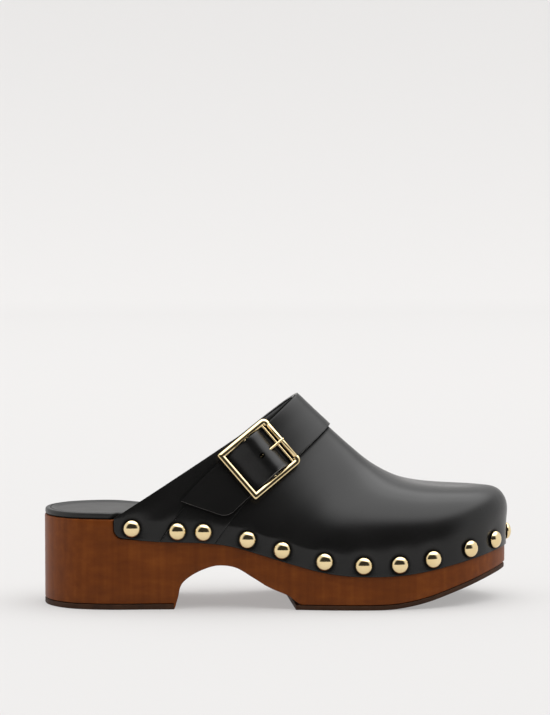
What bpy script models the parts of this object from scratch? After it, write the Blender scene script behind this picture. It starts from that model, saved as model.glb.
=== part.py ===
"""A wooden clog for the right foot: carved sole, leather upper held by domed studs, buckled strap.

Metres, +Z up. +X points to the toe, -Y is the outer side of the foot, and the ground is z = 0.
The smooth leather surface of the upper is one function, upper_point(). Every leather layer, stud and
the buckle is placed from it.
"""
import math

import bmesh
import bpy
import numpy as np
from mathutils import Matrix, Vector
from mathutils.kdtree import KDTree

MM = 0.001
GAP = 0.3 * MM                  # clearance between neighbouring pieces
SPACE = 0.15                    # half size of a box that reaches past the clog on every side

# ---------------------------------------------------------------- driving dimensions
FOOTBED_RISE = 10.5 * MM        # top of the wood above the lower edge of the leather
SHOULDER_CLEARANCE = 1.0 * MM   # the leather stays upright this far above the wood
REBATE_DEPTH = 1.6 * MM         # step cut into the wood for the leather's edge
LEATHER = 1.9 * MM              # vamp
LEATHER_PROUD = 1.0 * MM        # how far the vamp stands out from the wood
LINING = 0.9 * MM
LINING_DROP_AT_TOE = 1.5 * MM   # room for the toe puff between vamp and lining
TOE_PUFF = 0.7 * MM
STRAP = 1.5 * MM
CHAPE = 1.0 * MM
INNER_STRAP_LIFT = 0.5 * MM
STRAP_WIDTH = 24.8 * MM
HEEL_TREAD = 3.0 * MM
FOREFOOT_TREAD = 2.6 * MM
FOOTBED = 3.6 * MM
FOOTBED_COVER = 1.0 * MM
FOOTBED_INSET = 5.2 * MM        # under the upper the footbed stays this far inside the wood's edge
FOOTBED_STEP = 9.0 * MM         # length over which its edge moves in to there
UPPER_REAR_OUTER = -93.2 * MM   # where the leather starts on the outer side
UPPER_REAR_INNER = -68.0 * MM   # and on the inner side
HEEL_FRONT = -60.4 * MM
BALL_CONTACT = 9.0 * MM
REAR_CORNER = 5.6 * MM          # the leather's rear corners are rounded
STUD_RADIUS = 4.8 * MM
STUD_HEIGHT = 3.0 * MM
STUD_RISE = 6.4 * MM            # stud centres above the leather's lower edge
NAIL_RADIUS = 0.8 * MM
NAIL_LENGTH = 9.0 * MM
NAIL_CLEARANCE = 2.0 * MM       # the nails' holes go this much deeper and higher

# outline of the sole seen from above, from the back of the heel to the tip of the toe (mm)
HEEL_BACK = (-130.5, 2)
TOE_TIP = (128.2, 3)
OUTER_SIDE = [(-127.5, -12), (-117, -24.5), (-98, -31), (-72, -32.5), (-35, -34), (0, -39.5), (30, -45),
              (55, -46.3), (80, -42.8), (102, -33.5), (118.5, -18.5), (126.7, -5)]
INNER_SIDE = [(-127.5, 16), (-117, 27.5), (-98, 33), (-72, 33), (-35, 32), (0, 36.5), (30, 44),
              (55, 46.8), (80, 44.8), (102, 37.5), (118.5, 24), (126.7, 10.5)]

# heights along the clog, as (x, z) in mm
LEATHER_EDGE = [(-140, 39), (-91, 39), (-70, 37.3), (-42, 36.2), (-28, 34.2), (-13, 30), (3, 25.2),
                (18, 21.2), (33, 18.9), (48, 18.3), (64, 18.8), (80, 20.9), (95, 23.8), (110, 26.7),
                (122, 29), (140, 32)]
INSTEP = [(0, 122.5), (9, 115), (18, 106.5), (28, 97.2), (40, 86.4), (51, 77.4), (62.6, 70.8),
          (74, 66.6), (85, 64.4), (98, 63.5), (112, 63.4)]
ARCH_REAR = [(-60.4, 0), (-58.9, 4), (-57.8, 8), (-57, 12), (-55.2, 15), (-50.4, 18.8),
             (-43.4, 22.2), (-36.5, 24)]
ARCH_FRONT = [(-27, 23), (-17.5, 17.6), (-7, 10.9), (1.7, 5.3), (9, 0)]
TOE_ROCKER = [(50, 0), (60, 0.4), (70, 1.8), (80, 4), (92, 7.6), (104, 11.2), (118, 15.2), (130, 18)]

# middle line of the strap seen from the side, from the free end up to the instep, as (x, z) in mm
STRAP_OUTER_SIDE = [(-47.3, 51), (-36.8, 62), (-27.3, 70.3), (-13.2, 81.2), (0.7, 91.7)]
STRAP_TOP = (18.6, 107)
STRAP_INNER_SIDE = [(8, 96), (-4, 81), (-15, 64), (-24, 47), (-30, 34), (-35, 22)]
CHAPE_ROUTE = [(-61, 26), (-53, 37), (-42.5, 52), (-27.5, 69.5), (-13.2, 81.2)]
BUCKLE_PLACE = (-13.2, 81.2)
TAB_SLANT = 10.8 * MM           # the strap's free end is cut aslant by this much
TAB_CORNER = 4.5 * MM           # and its shorter corner is rounded

# underside of the strap above the vamp at distances in front of the buckle's centre bar, in mm
STRAP_LIFT = [(-90, 1.6), (-20, 1.6), (-12.5, 1.6), (-10, 2.4), (-7.5, 3.8), (-5, 5.1), (-2.5, 6.4),
              (0, 7.6), (3, 7.6), (5.5, 6.5), (8, 4.2), (10.7, 1.5), (12.8, 0.6), (15, 0.5), (200, 0.5)]
# outer face of the folded chape in the buckle's own axes (forward, up), in mm
CHAPE_FLAP = [(-2.5, 5.7), (-5, 4.4), (-7.5, 3.2)]

BUCKLE_HALF_LENGTH = 17.7 * MM
BUCKLE_HALF_WIDTH = 16.2 * MM
BUCKLE_BAR = 3.4 * MM
BUCKLE_THICKNESS = 2.4 * MM
BUCKLE_CORNER = 3.5 * MM
BUCKLE_EDGE = 0.7 * MM
CENTRE_BAR_RADIUS = 0.8 * MM
CENTRE_BAR_LIFT = 4.15 * MM
FRAME_SLOPE = 0.035             # the frame dips towards the instep
GUIDE_BAR = (13.1 * MM, 0.7 * MM)
AXLE = (16.2 * MM, 0.62 * MM)
ROLLER_INNER = 0.92 * MM
ROLLER_OUTER = 1.3 * MM
ROLLER_HALF = 11.6 * MM
PRONG_RADIUS = 0.7 * MM
PRONG_HOLE = (4.2 * MM, 11.4 * MM)   # from and to, in front of the centre bar
HOLE_RADIUS = 1.5 * MM
EMPTY_HOLE = (1.2 * MM, 8.4 * MM)    # an unused hole of the strap, forward and up
EMPTY_HOLE_RADIUS = 1.2 * MM
PRONG_SLOT = (8.0 * MM, 2.4 * MM, 7.6 * MM)

# stud places by x on the long sides, and by distance along the edge from the toe's tip, in mm
OUTER_STUDS_X = [-82.9, -59.2, -44.3, -20.2, -1.3, 21.8, 42.6, 62.6, 81.4, 103.3]
TOE_STUDS = [(False, 23.7), (True, 1.5), (True, 24)]
INNER_STUDS_X = [-59, -42, -26, -4, 18, 40, 61, 81]
# studs that also go through the chape or the strap, numbered from the outer side's rear
CHAPE_STUDS = (2, 3)
STRAP_STUDS = (19, 20)

WOOD_BROWN = (0.11, 0.036, 0.012)
RUBBER_BROWN = (0.045, 0.02, 0.01)
BLACK = (0.018, 0.018, 0.018)
GREY_SUEDE = (0.06, 0.06, 0.06)
GOLD = (0.83, 0.65, 0.32)
FOAM = (0.55, 0.5, 0.4)


# ---------------------------------------------------------------- curves
def smooth_through(points, closed=False, per_span=6):
    """Points on a centripetal Catmull-Rom curve through hand-placed points."""
    p = np.asarray(points, float)
    if closed:
        p = np.vstack([p[-1], p, p[0], p[1]])
    else:
        p = np.vstack([2 * p[0] - p[1], p, 2 * p[-1] - p[-2]])
    t = np.linspace(0, 1, per_span, endpoint=False)[:, None]
    spans = []
    for a, b, c, d in zip(p[:-3], p[1:-2], p[2:-1], p[3:]):
        ta, tb, tc = (np.linalg.norm(step) ** 0.5 for step in (b - a, c - b, d - c))
        start = (c - b) + tb * ((b - a) / ta - (c - a) / (ta + tb))
        end = (c - b) + tb * ((d - c) / tc - (d - b) / (tb + tc))
        spans.append((2 * t**3 - 3 * t**2 + 1) * b + (t**3 - 2 * t**2 + t) * start
                     + (3 * t**2 - 2 * t**3) * c + (t**3 - t**2) * end)
    if not closed:
        spans.append(p[-2:-1])
    return np.vstack(spans)


def height_at(line, x):
    """Height in metres of a hand-placed (x, z) line, for x in metres."""
    curve = smooth_through(line) * MM
    return np.interp(x, curve[:, 0], curve[:, 1])


def leather_edge(x):
    return height_at(LEATHER_EDGE, x)


def wood_top(x):
    return leather_edge(x) + FOOTBED_RISE


def smoothstep(low, high, x):
    t = np.clip((x - low) / (high - low), 0, 1)
    return t * t * (3 - 2 * t)


def sole_outline(offset=0.0, per_span=5):
    """Closed outline of the sole in metres, moved outward by offset."""
    points = [HEEL_BACK] + OUTER_SIDE + [TOE_TIP] + INNER_SIDE[::-1]
    curve = smooth_through(points, closed=True, per_span=per_span) * MM
    return move_outward(curve, offset)


def move_outward(curve, offset):
    tangent = np.roll(curve, -1, axis=0) - np.roll(curve, 1, axis=0)
    tangent /= np.linalg.norm(tangent, axis=1)[:, None]
    outward = np.stack([tangent[:, 1], -tangent[:, 0]], axis=1)
    return curve + outward * np.reshape(offset, (-1, 1))


def edge_line(inner, offset):
    """Plan of the leather's edge on one side, from its rear end to the tip of the toe."""
    fine = 24
    outline = sole_outline(offset, per_span=fine)
    tip = fine * (len(OUTER_SIDE) + 1)
    side = outline[tip:][::-1] if inner else outline[: tip + 1]
    rear = UPPER_REAR_INNER if inner else UPPER_REAR_OUTER
    start = np.array([rear, np.interp(rear, side[:, 0], side[:, 1])])
    return np.vstack([start, side[side[:, 0] > rear + 0.2 * MM]])


# ---------------------------------------------------------------- the leather surface
def at_fraction(curve, fraction):
    length = np.concatenate([[0], np.cumsum(np.linalg.norm(np.diff(curve, axis=0), axis=1))])
    wanted = fraction * length[-1]
    return np.stack([np.interp(wanted, length, curve[:, k]) for k in (0, 1)], axis=-1)


OUTER_EDGE = edge_line(False, LEATHER_PROUD)
INNER_EDGE = edge_line(True, LEATHER_PROUD)
TOPLINE_X = 9.0 * MM
RIDGE_END_X = 107.5 * MM
RIDGE_Y = 1.0 * MM
SIDE_BOXINESS = (2.0, 0.9)      # superellipse power across the clog: at the topline, added at the toe
RISE_BOXINESS = (1.65, 0.65)    # the same for its height
TIP_BOXINESS = 1.3              # added to both at the very tip
TOE_SWELL = 0.7 * MM
TOE_FROM, TOE_FULL = 0.35, 0.75     # stations between which the upper takes its toe's shape
TIP_FROM, TIP_FULL = 0.7, 0.97      # and the shape of its very tip
LINING_STEP = (0.5, 0.66)           # stations where the lining drops to pass under the toe puff
LINING_ENDS = (0.004, 0.985)
PUFF_ENDS = (0.7, 0.99)


def upper_point(u, v, inner):
    """Outer surface of the vamp. u runs from the topline (0) to the toe (1). v runs from the shoulder
    above the wood (0) to the ridge of the instep (1), and below 0 down the skirt that is nailed on.
    inner picks the side of the foot."""
    edge = at_fraction(INNER_EDGE if inner else OUTER_EDGE, u)
    edge_x, edge_y = edge[..., 0], edge[..., 1]
    ridge_x = TOPLINE_X + (RIDGE_END_X - TOPLINE_X) * u
    low = leather_edge(edge_x) + GAP
    shoulder = wood_top(edge_x) + SHOULDER_CLEARANCE
    high = height_at(INSTEP, ridge_x)
    angle = np.clip(v, 0, 1) * math.pi / 2
    toe = smoothstep(TOE_FROM, TOE_FULL, u)
    tip = smoothstep(TIP_FROM, TIP_FULL, u)
    side_power, rise_power = (start + more * toe + TIP_BOXINESS * tip
                              for start, more in (SIDE_BOXINESS, RISE_BOXINESS))
    side = np.clip(np.cos(angle), 0, 1) ** (2 / side_power)
    rise = np.clip(np.sin(angle), 0, 1) ** (2 / rise_power)
    lean = (1 - toe) * rise + toe * (1 - side)
    swell = TOE_SWELL * tip * np.sin(np.clip(rise, 0, 1) * math.pi) ** 2
    x = edge_x + (ridge_x - edge_x) * lean + swell
    y = RIDGE_Y + (edge_y - RIDGE_Y) * side
    z = shoulder + (high - shoulder) * rise
    skirt = np.clip(-v, 0, 1)
    z = z - skirt * (shoulder - low)
    return np.stack([x, y, z], axis=-1)


def upper_grid(u, v):
    """Surface points and outward normals over the whole vamp: v from -1 (outer edge) over the ridge (1)
    to 3 (inner edge). u and v are lists, or u may be a full grid."""
    v = np.asarray(v, float)
    u = np.asarray(u, float)
    if u.ndim == 1:
        u, v = np.meshgrid(u, v, indexing="ij")
    step = 1e-3

    def point(uu, vv):
        uu = np.clip(uu, 0, 1)
        return np.where((vv > 1)[..., None], upper_point(uu, 2 - vv, True), upper_point(uu, vv, False))

    here = point(u, v)
    du = point(u + step, v) - point(u - step, v)
    dv = point(u, np.minimum(v + step, 3)) - point(u, np.maximum(v - step, -1))
    normal = np.cross(du, dv)
    length = np.linalg.norm(normal, axis=-1, keepdims=True)
    return here, normal / np.maximum(length, 1e-12)


def dense_surface():
    points, normals = upper_grid(np.linspace(0, 0.9, 150), np.linspace(-1, 3, 200))
    points = points.reshape(-1, 3)
    normals = normals.reshape(-1, 3)
    tree = KDTree(len(points))
    for index, point in enumerate(points):
        tree.insert(point, index)
    tree.balance()
    return points, normals, tree


POINTS, NORMALS, TREE = dense_surface()


def nearest_on_upper(place):
    """Smoothed foot point and normal of the vamp's surface below a place."""
    found = TREE.find_n(Vector(place), 8)
    index = [hit[1] for hit in found]
    normal = NORMALS[index].mean(axis=0)
    normal /= np.linalg.norm(normal)
    base = POINTS[index].mean(axis=0)
    offset = np.asarray(place) - base
    return base + offset - normal * float(offset @ normal), normal


def side_view_point(x, z, inner=False):
    """The point of the vamp's surface seen at (x, z) from the side."""
    keep = (POINTS[:, 1] > RIDGE_Y) if inner else (POINTS[:, 1] <= RIDGE_Y)
    side = POINTS[keep]
    near = np.argsort((side[:, 0] - x) ** 2 + (side[:, 2] - z) ** 2)[:6]
    return np.array([x, side[near, 1].mean(), z])


# ---------------------------------------------------------------- making objects
def start_scene():
    """Empties the scene and makes the two collections."""
    for old in list(bpy.data.objects):
        bpy.data.objects.remove(old, do_unlink=True)
    for name in ("clog", "cutters"):
        collection = bpy.data.collections.new(name)
        bpy.context.scene.collection.children.link(collection)


def material(name, colour, roughness, metallic=0.0):
    made = bpy.data.materials.get(name)
    if made is None:
        made = bpy.data.materials.new(name)
        made.use_nodes = True
        shader = made.node_tree.nodes["Principled BSDF"]
        shader.inputs["Base Color"].default_value = (*colour, 1)
        shader.inputs["Roughness"].default_value = roughness
        shader.inputs["Metallic"].default_value = metallic
    return made


def add_object(name, data, kind="clog"):
    made = bpy.data.objects.new(name, data)
    bpy.data.collections[kind].objects.link(made)
    if kind == "cutters":
        made.hide_render = True
        made.display_type = "WIRE"
    return made


def finish(made, look, smooth_angle=None):
    """Gives an object its material and, where it is round, smooth shading."""
    made.data.materials.clear()
    made.data.materials.append(look)
    if smooth_angle is not None:
        made.data.shade_smooth()
        made.data.set_sharp_from_angle(angle=math.radians(smooth_angle))
    return made


def baked(made, name, kind="clog"):
    """Replaces an object by a welded mesh of its evaluated shape, in world axes."""
    bpy.context.view_layer.update()
    graph = bpy.context.evaluated_depsgraph_get()
    mesh = bpy.data.meshes.new_from_object(made.evaluated_get(graph))
    mesh.transform(made.matrix_world)
    bpy.data.objects.remove(made, do_unlink=True)
    work = bmesh.new()
    work.from_mesh(mesh)
    bmesh.ops.remove_doubles(work, verts=work.verts, dist=0.01 * MM)
    bmesh.ops.recalc_face_normals(work, faces=work.faces)
    work.to_mesh(mesh)
    work.free()
    return add_object(name, mesh, kind)


def slab(name, outline, low, high, kind="clog"):
    """Upright prism: a flat outline in plan between two heights."""
    curve = bpy.data.curves.new(name + "_outline", "CURVE")
    curve.dimensions = "2D"
    curve.fill_mode = "BOTH"
    curve.extrude = (high - low) / 2
    add_ring(curve, outline)
    made = add_object(name + "_outline", curve, kind)
    made.location.z = (high + low) / 2
    return baked(made, name, kind)


def side_slab(name, profile, half_width=SPACE / 2, kind="cutters"):
    """Prism across the clog: a flat outline in side view, as (x, z), between two sides."""
    curve = bpy.data.curves.new(name + "_profile", "CURVE")
    curve.dimensions = "2D"
    curve.fill_mode = "BOTH"
    curve.extrude = half_width
    add_ring(curve, profile)
    made = add_object(name + "_profile", curve, kind)
    made.rotation_euler.x = math.pi / 2
    return baked(made, name, kind)


def add_ring(curve, outline):
    spline = curve.splines.new("POLY")
    spline.points.add(len(outline) - 1)
    for point, place in zip(spline.points, outline):
        point.co = (*place, 0, 1)
    spline.use_cyclic_u = True


def cut(made, cutter, operation="DIFFERENCE"):
    step = made.modifiers.new(operation.lower(), "BOOLEAN")
    step.operation = operation
    step.object = cutter
    return made


def grid_mesh(name, rows, close_rows=False):
    """Open sheet of faces through a grid of points."""
    rows = np.asarray(rows)
    count, width = rows.shape[:2]
    mesh = bpy.data.meshes.new(name)
    faces = []
    for i in range(count - 1 + int(close_rows)):
        for j in range(width - 1):
            k = (i + 1) % count
            faces.append((i * width + j, k * width + j, k * width + j + 1, i * width + j + 1))
    mesh.from_pydata([tuple(p) for p in rows.reshape(-1, 3)], [], faces)
    work = bmesh.new()
    work.from_mesh(mesh)
    bmesh.ops.remove_doubles(work, verts=work.verts, dist=0.01 * MM)
    work.to_mesh(mesh)
    work.free()
    return mesh


def solidify(made, thickness, outward=True):
    """Turns a sheet into a shell on the outer (+1) or inner (-1) side of its faces."""
    step = made.modifiers.new("thickness", "SOLIDIFY")
    step.thickness = thickness
    step.offset = 1 if outward else -1
    step.use_even_offset = True
    return made


# ---------------------------------------------------------------- wood and rubber
def profile_line(line, lift=0.0):
    return [(x, z + lift) for x, z in smooth_through(line, per_span=3) * MM]


def sole_underside(lift_heel, lift_front):
    """Side view of the wood's underside from the heel to the toe, above the treads."""
    heel = [(-SPACE, lift_heel), (HEEL_FRONT, lift_heel)]
    rear = [(x, z) for x, z in profile_line(ARCH_REAR) if z > lift_heel]
    front = [(x, z) for x, z in profile_line(ARCH_FRONT) if z > lift_front]
    ball = [(arch_foot(lift_front), lift_front)]
    return heel + rear + front + ball + profile_line(TOE_ROCKER, lift_front)


def arch_foot(z):
    """Where the front of the arch comes down to a height."""
    line = np.array(profile_line(ARCH_FRONT))[::-1]
    return float(np.interp(z, line[:, 1], line[:, 0]))


def footbed_line(lift=0.0):
    """Side view of the wood's top from the toe to the heel, lifted."""
    return [(x, float(wood_top(x)) + lift) for x in np.linspace(SPACE, -SPACE, 38)]


def rounded_corner(rear, radius, lift):
    """Arc from a side's rear end down to the leather's edge, as (x, z)."""
    floor = float(leather_edge(rear + radius)) + lift
    return [(rear + radius * (1 - math.cos(a)), floor + radius * (1 - math.sin(a)))
            for a in np.linspace(0, math.pi / 2, 6)]


def rebate_ledge(rear):
    """Side view of the space above the ledge that the leather stands on."""
    corner = rounded_corner(rear - GAP, REAR_CORNER + GAP, 0.0)
    x = np.linspace(corner[-1][0], SPACE, 36)[1:]
    ledge = [(a, float(leather_edge(a))) for a in x]
    return corner + ledge + [(SPACE, SPACE), (rear - GAP, SPACE)]


def on_each_side(name, profile_of):
    """Two cutters from side views, one for each side of the clog, that meet along its middle."""
    half_width = 80 * MM
    cutters = []
    for side, rear, label in ((-1, UPPER_REAR_OUTER, "outer"), (1, UPPER_REAR_INNER, "inner")):
        cutter = side_slab(f"{name}_{label}", profile_of(rear), half_width)
        cutter.location.y = side * (half_width - GAP)
        cutters.append(cutter)
    return cutters


def make_wood():
    wood = slab("wooden_sole", sole_outline(), 0.0, SPACE / 2)
    side = sole_underside(HEEL_TREAD + GAP, FOREFOOT_TREAD + GAP) + footbed_line()
    cut(wood, side_slab("sole_profile", side), "INTERSECT")
    core = slab("rebate_core", sole_outline(-REBATE_DEPTH), -SPACE, SPACE, "cutters")
    for ledge in on_each_side("rebate_space", rebate_ledge):
        cut(ledge, core)
        cut(wood, ledge)
    return finish(wood, material("stained_wood", WOOD_BROWN, 0.35))


def make_heel_tread():
    tread = slab("heel_tread", sole_outline(), 0.0, HEEL_TREAD)
    block = [(-SPACE, -SPACE), (HEEL_FRONT, -SPACE), (HEEL_FRONT, SPACE), (-SPACE, SPACE)]
    cut(tread, side_slab("heel_tread_block", block), "INTERSECT")
    return finish(tread, material("brown_rubber", RUBBER_BROWN, 0.7))


def make_forefoot_tread():
    tread = slab("forefoot_tread", sole_outline(), -SPACE / 2, SPACE / 2)
    low = [(BALL_CONTACT, 0.0)] + profile_line(TOE_ROCKER)
    high = profile_line(TOE_ROCKER, FOREFOOT_TREAD)[::-1]
    rear = [(arch_foot(FOREFOOT_TREAD), FOREFOOT_TREAD)]
    cut(tread, side_slab("forefoot_tread_band", low + high + rear), "INTERSECT")
    return finish(tread, material("brown_rubber", RUBBER_BROWN, 0.7))


# ---------------------------------------------------------------- footbed
def footbed_layer(name, inset, low, high, kind="clog"):
    """A layer on the wood between two heights, inset from the footbed's outline: out to the wood's
    edge at the heel, inside the upper in front."""
    outline = sole_outline(0.0)
    rear = np.where(outline[:, 1] > 0, UPPER_REAR_INNER, UPPER_REAR_OUTER)
    front = smoothstep(rear - FOOTBED_STEP, rear, outline[:, 0])
    heel_inset = GAP + inset
    front_inset = FOOTBED_INSET + inset
    outline = move_outward(outline, -(heel_inset + (front_inset - heel_inset) * front))
    layer = slab(name, outline, 0.0, SPACE / 2, kind)
    band = footbed_line(low)[::-1] + footbed_line(high)
    return cut(layer, side_slab(name + "_band", band), "INTERSECT")


def make_footbed():
    """Foam cushion under a leather cover whose sides come down to the wood."""
    cover = footbed_layer("footbed_cover", 0.0, GAP, FOOTBED)
    cut(cover, footbed_layer("cushion_space", FOOTBED_COVER, -MM, FOOTBED - FOOTBED_COVER, "cutters"))
    finish(cover, material("sock_leather", GREY_SUEDE, 0.45))
    wall = FOOTBED_COVER + GAP
    cushion = footbed_layer("footbed_cushion", wall, GAP, FOOTBED - wall)
    finish(cushion, material("foam", FOAM, 0.9))


# ---------------------------------------------------------------- leather upper
def outside_corner(rear):
    """Side view of what is cut off the vamp's lower rear corner."""
    arc = rounded_corner(rear, REAR_CORNER, GAP)
    beyond = rear - MM
    return [(beyond, arc[0][1]), *arc, (arc[-1][0], arc[-1][1] - MM), (beyond, arc[-1][1] - MM)]


def make_vamp():
    u = np.linspace(0, 1, 34)
    v = np.concatenate([[-1], np.linspace(0, 2, 17), [3]])
    points, _ = upper_grid(u, v)
    vamp = add_object("vamp", grid_mesh("vamp", points))
    solidify(vamp, LEATHER, outward=False)
    for corner in on_each_side("vamp_corner", outside_corner):
        cut(vamp, corner)
    return finish(vamp, material("black_leather", BLACK, 0.35), 40)


def layer_grid(u, inset, lowest):
    """A layer inside the vamp: a grid of points at a depth, starting a little above the wood."""
    rows = []
    arch = np.linspace(lowest, 2 - lowest, 15)
    for value in u:
        points, normals = upper_grid([value], arch)
        rows.append(points[0] - normals[0] * inset(value))
    return np.array(rows)


def lining_depth(u):
    return LEATHER + 2 * GAP + LINING_DROP_AT_TOE * smoothstep(*LINING_STEP, u)


def make_lining():
    rows = layer_grid(np.linspace(*LINING_ENDS, 28), lining_depth, 0.015)
    lining = add_object("vamp_lining", grid_mesh("vamp_lining", rows))
    solidify(lining, LINING, outward=False)
    return finish(lining, material("lining_leather", GREY_SUEDE, 0.6), 40)


def make_toe_puff():
    rows = layer_grid(np.linspace(*PUFF_ENDS, 10), lambda u: LEATHER + 2 * GAP, 0.04)
    puff = add_object("toe_puff", grid_mesh("toe_puff", rows))
    solidify(puff, TOE_PUFF, outward=False)
    return finish(puff, material("puff_board", FOAM, 0.8), 40)


# ---------------------------------------------------------------- strap and chape
def surface_frame(x, z, inner=False):
    place = side_view_point(x * MM, z * MM, inner)
    return nearest_on_upper(place)


def strap_centre_line():
    outer = [surface_frame(x, z)[0] for x, z in STRAP_OUTER_SIDE]
    top = upper_grid([ridge_station(STRAP_TOP[0] * MM)], [1.0])[0][0, 0]
    inner = [surface_frame(x, z, True)[0] for x, z in STRAP_INNER_SIDE]
    return smooth_through(np.array(outer + [top] + inner), per_span=6)


def ridge_station(x):
    return (x - TOPLINE_X) / (RIDGE_END_X - TOPLINE_X)


def tab_end(share):
    """How far from the strap's lowest point its free end is cut, at a share of its width."""
    into_corner = np.clip(TAB_CORNER - (share + 0.5) * STRAP_WIDTH, 0, TAB_CORNER)
    rounding = TAB_CORNER - math.sqrt(TAB_CORNER**2 - into_corner**2)
    return TAB_SLANT * (0.5 - share) + rounding


def square_end(share):
    return 0.0


def band_rows(line, lift, end=square_end, across=8):
    """Grid of points for a strap that lies along a line on the vamp, lifted off its surface."""
    sides = [np.cross(nearest_on_upper(centre)[1], forward)
             for centre, forward in zip(line, np.gradient(line, axis=0))]
    length = np.concatenate([[0], np.cumsum(np.linalg.norm(np.diff(line, axis=0), axis=1))])
    table = np.column_stack([line, sides])
    rows = []
    for station in np.linspace(0, 1, len(line)):
        row = []
        for share in np.linspace(-0.5, 0.5, across):
            along = end(share) + (length[-1] - end(share)) * station
            found = np.array([np.interp(along, length, column) for column in table.T])
            sideways = found[3:] / np.linalg.norm(found[3:])
            base, up = nearest_on_upper(found[:3] + sideways * share * STRAP_WIDTH)
            row.append(base + up * lift(base))
        rows.append(row)
    return np.array(rows)


class BuckleAxes:
    """Axes of the buckle: forward along the strap to the instep, along the bar, and up off the vamp."""

    def __init__(self):
        self.origin, self.up = surface_frame(*BUCKLE_PLACE)
        ahead, _ = surface_frame(*STRAP_OUTER_SIDE[4])
        behind, _ = surface_frame(*STRAP_OUTER_SIDE[2])
        forward = (ahead - behind) / np.linalg.norm(ahead - behind)
        self.forward = forward - self.up * float(forward @ self.up)
        self.forward /= np.linalg.norm(self.forward)
        self.bar = np.cross(self.up, self.forward)

    def place(self, forward, bar, up):
        return self.origin + self.forward * forward + self.bar * bar + self.up * up

    def matrix(self, forward=0.0, up=0.0, slope=0.0):
        """World matrix with X forward, Y along the bar and Z up, tipped by slope about the bar."""
        turn = Matrix((self.forward, self.bar, self.up)).transposed().to_4x4()
        turn.translation = Vector(self.place(forward, 0, up))
        return turn @ Matrix.Rotation(slope, 4, "Y")


AXES = BuckleAxes()


def strap_lift(place):
    forward = float((np.asarray(place) - AXES.origin) @ AXES.forward)
    if place[1] > RIDGE_Y:
        return INNER_STRAP_LIFT
    curve = smooth_through(STRAP_LIFT, per_span=4) * MM
    return float(np.interp(forward, curve[:, 0], curve[:, 1]))


def below_edge():
    """Everything lower than the ledge that the leather stands on."""
    x = np.linspace(-SPACE, SPACE, 50)
    line = [(a, float(leather_edge(a)) + GAP) for a in x]
    return side_slab("below_edge", line + [(SPACE, -SPACE), (-SPACE, -SPACE)])


def make_instep_strap():
    rows = band_rows(strap_centre_line(), strap_lift, tab_end)
    strap = add_object("instep_strap", grid_mesh("instep_strap", rows))
    solidify(strap, STRAP)
    cut(strap, bpy.data.objects["below_edge"])
    start, end = PRONG_HOLE
    middle = (start + end) / 2
    along_prong = AXES.matrix(middle, prong_height(middle)) @ Matrix.Rotation(math.pi / 2, 4, "Y")
    cut(strap, hole_cutter("prong_hole", HOLE_RADIUS, end - start, along_prong))
    cut(strap, hole_cutter("empty_hole", EMPTY_HOLE_RADIUS, 2 * STRAP, AXES.matrix(*EMPTY_HOLE)))
    return finish(strap, material("black_leather", BLACK, 0.35), 40)


def hole_cutter(name, radius, length, axes):
    """A round rod along the Z axis of a placing matrix."""
    bpy.ops.mesh.primitive_cylinder_add(vertices=10, radius=radius, depth=length)
    tool = bpy.context.object
    tool.name = name
    tool.matrix_world = axes
    return to_cutters(tool)


def to_cutters(tool):
    for owner in list(tool.users_collection):
        owner.objects.unlink(tool)
    bpy.data.collections["cutters"].objects.link(tool)
    tool.hide_render = True
    tool.display_type = "WIRE"
    return tool


def make_chape():
    """Strap from the sole's edge up to the buckle, folded round its centre bar."""
    places = np.array([surface_frame(x, z)[0] for x, z in CHAPE_ROUTE])
    flat = smooth_through(places, per_span=5)[:-1]
    rows = list(band_rows(flat, lambda place: GAP))
    fold = CENTRE_BAR_RADIUS + GAP + CHAPE
    path = [(fold * math.sin(a), CENTRE_BAR_LIFT - fold * math.cos(a))
            for a in np.linspace(0.15, math.pi, 10)]
    path += [(x * MM, z * MM) for x, z in CHAPE_FLAP]
    across = np.linspace(0.5, -0.5, 8) * STRAP_WIDTH
    side = np.sign(float((rows[-1][0] - AXES.origin) @ AXES.bar))
    for forward, up in path:
        rows.append([AXES.place(forward, b * side, up) for b in across])
    chape = add_object("buckle_chape", grid_mesh("buckle_chape", rows))
    solidify(chape, CHAPE)
    bpy.ops.mesh.primitive_cube_add(size=1)
    slot = bpy.context.object
    slot.name = "prong_slot"
    slot.matrix_world = AXES.matrix(0.0, CENTRE_BAR_LIFT - 0.2 * MM) @ Matrix.Diagonal((*PRONG_SLOT, 1))
    cut(chape, to_cutters(slot))
    cut(chape, below_edge())
    return finish(chape, material("black_leather", BLACK, 0.35), 40)


# ---------------------------------------------------------------- buckle
def frame_height(forward):
    return CENTRE_BAR_LIFT - FRAME_SLOPE * forward


def frame_outline():
    """Plan of the frame: a rear bar and two arms whose front corners turn in to hold the axle."""
    length, width, bar = BUCKLE_HALF_LENGTH, BUCKLE_HALF_WIDTH, BUCKLE_BAR
    half = [(-length, 0.0), (-length, width)]
    turn = np.linspace(math.pi / 2, 0, 5)
    half += [(length - BUCKLE_CORNER + BUCKLE_CORNER * math.cos(a),
              width - BUCKLE_CORNER + BUCKLE_CORNER * math.sin(a)) for a in turn]
    half += [(length, ROLLER_HALF + GAP), (length - bar + 0.4 * MM, ROLLER_HALF + GAP)]
    half += [(length - bar + 0.4 * MM, width - bar), (-length + bar, width - bar)]
    return half[1:] + [(x, -y) for x, y in half[:0:-1]]


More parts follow.
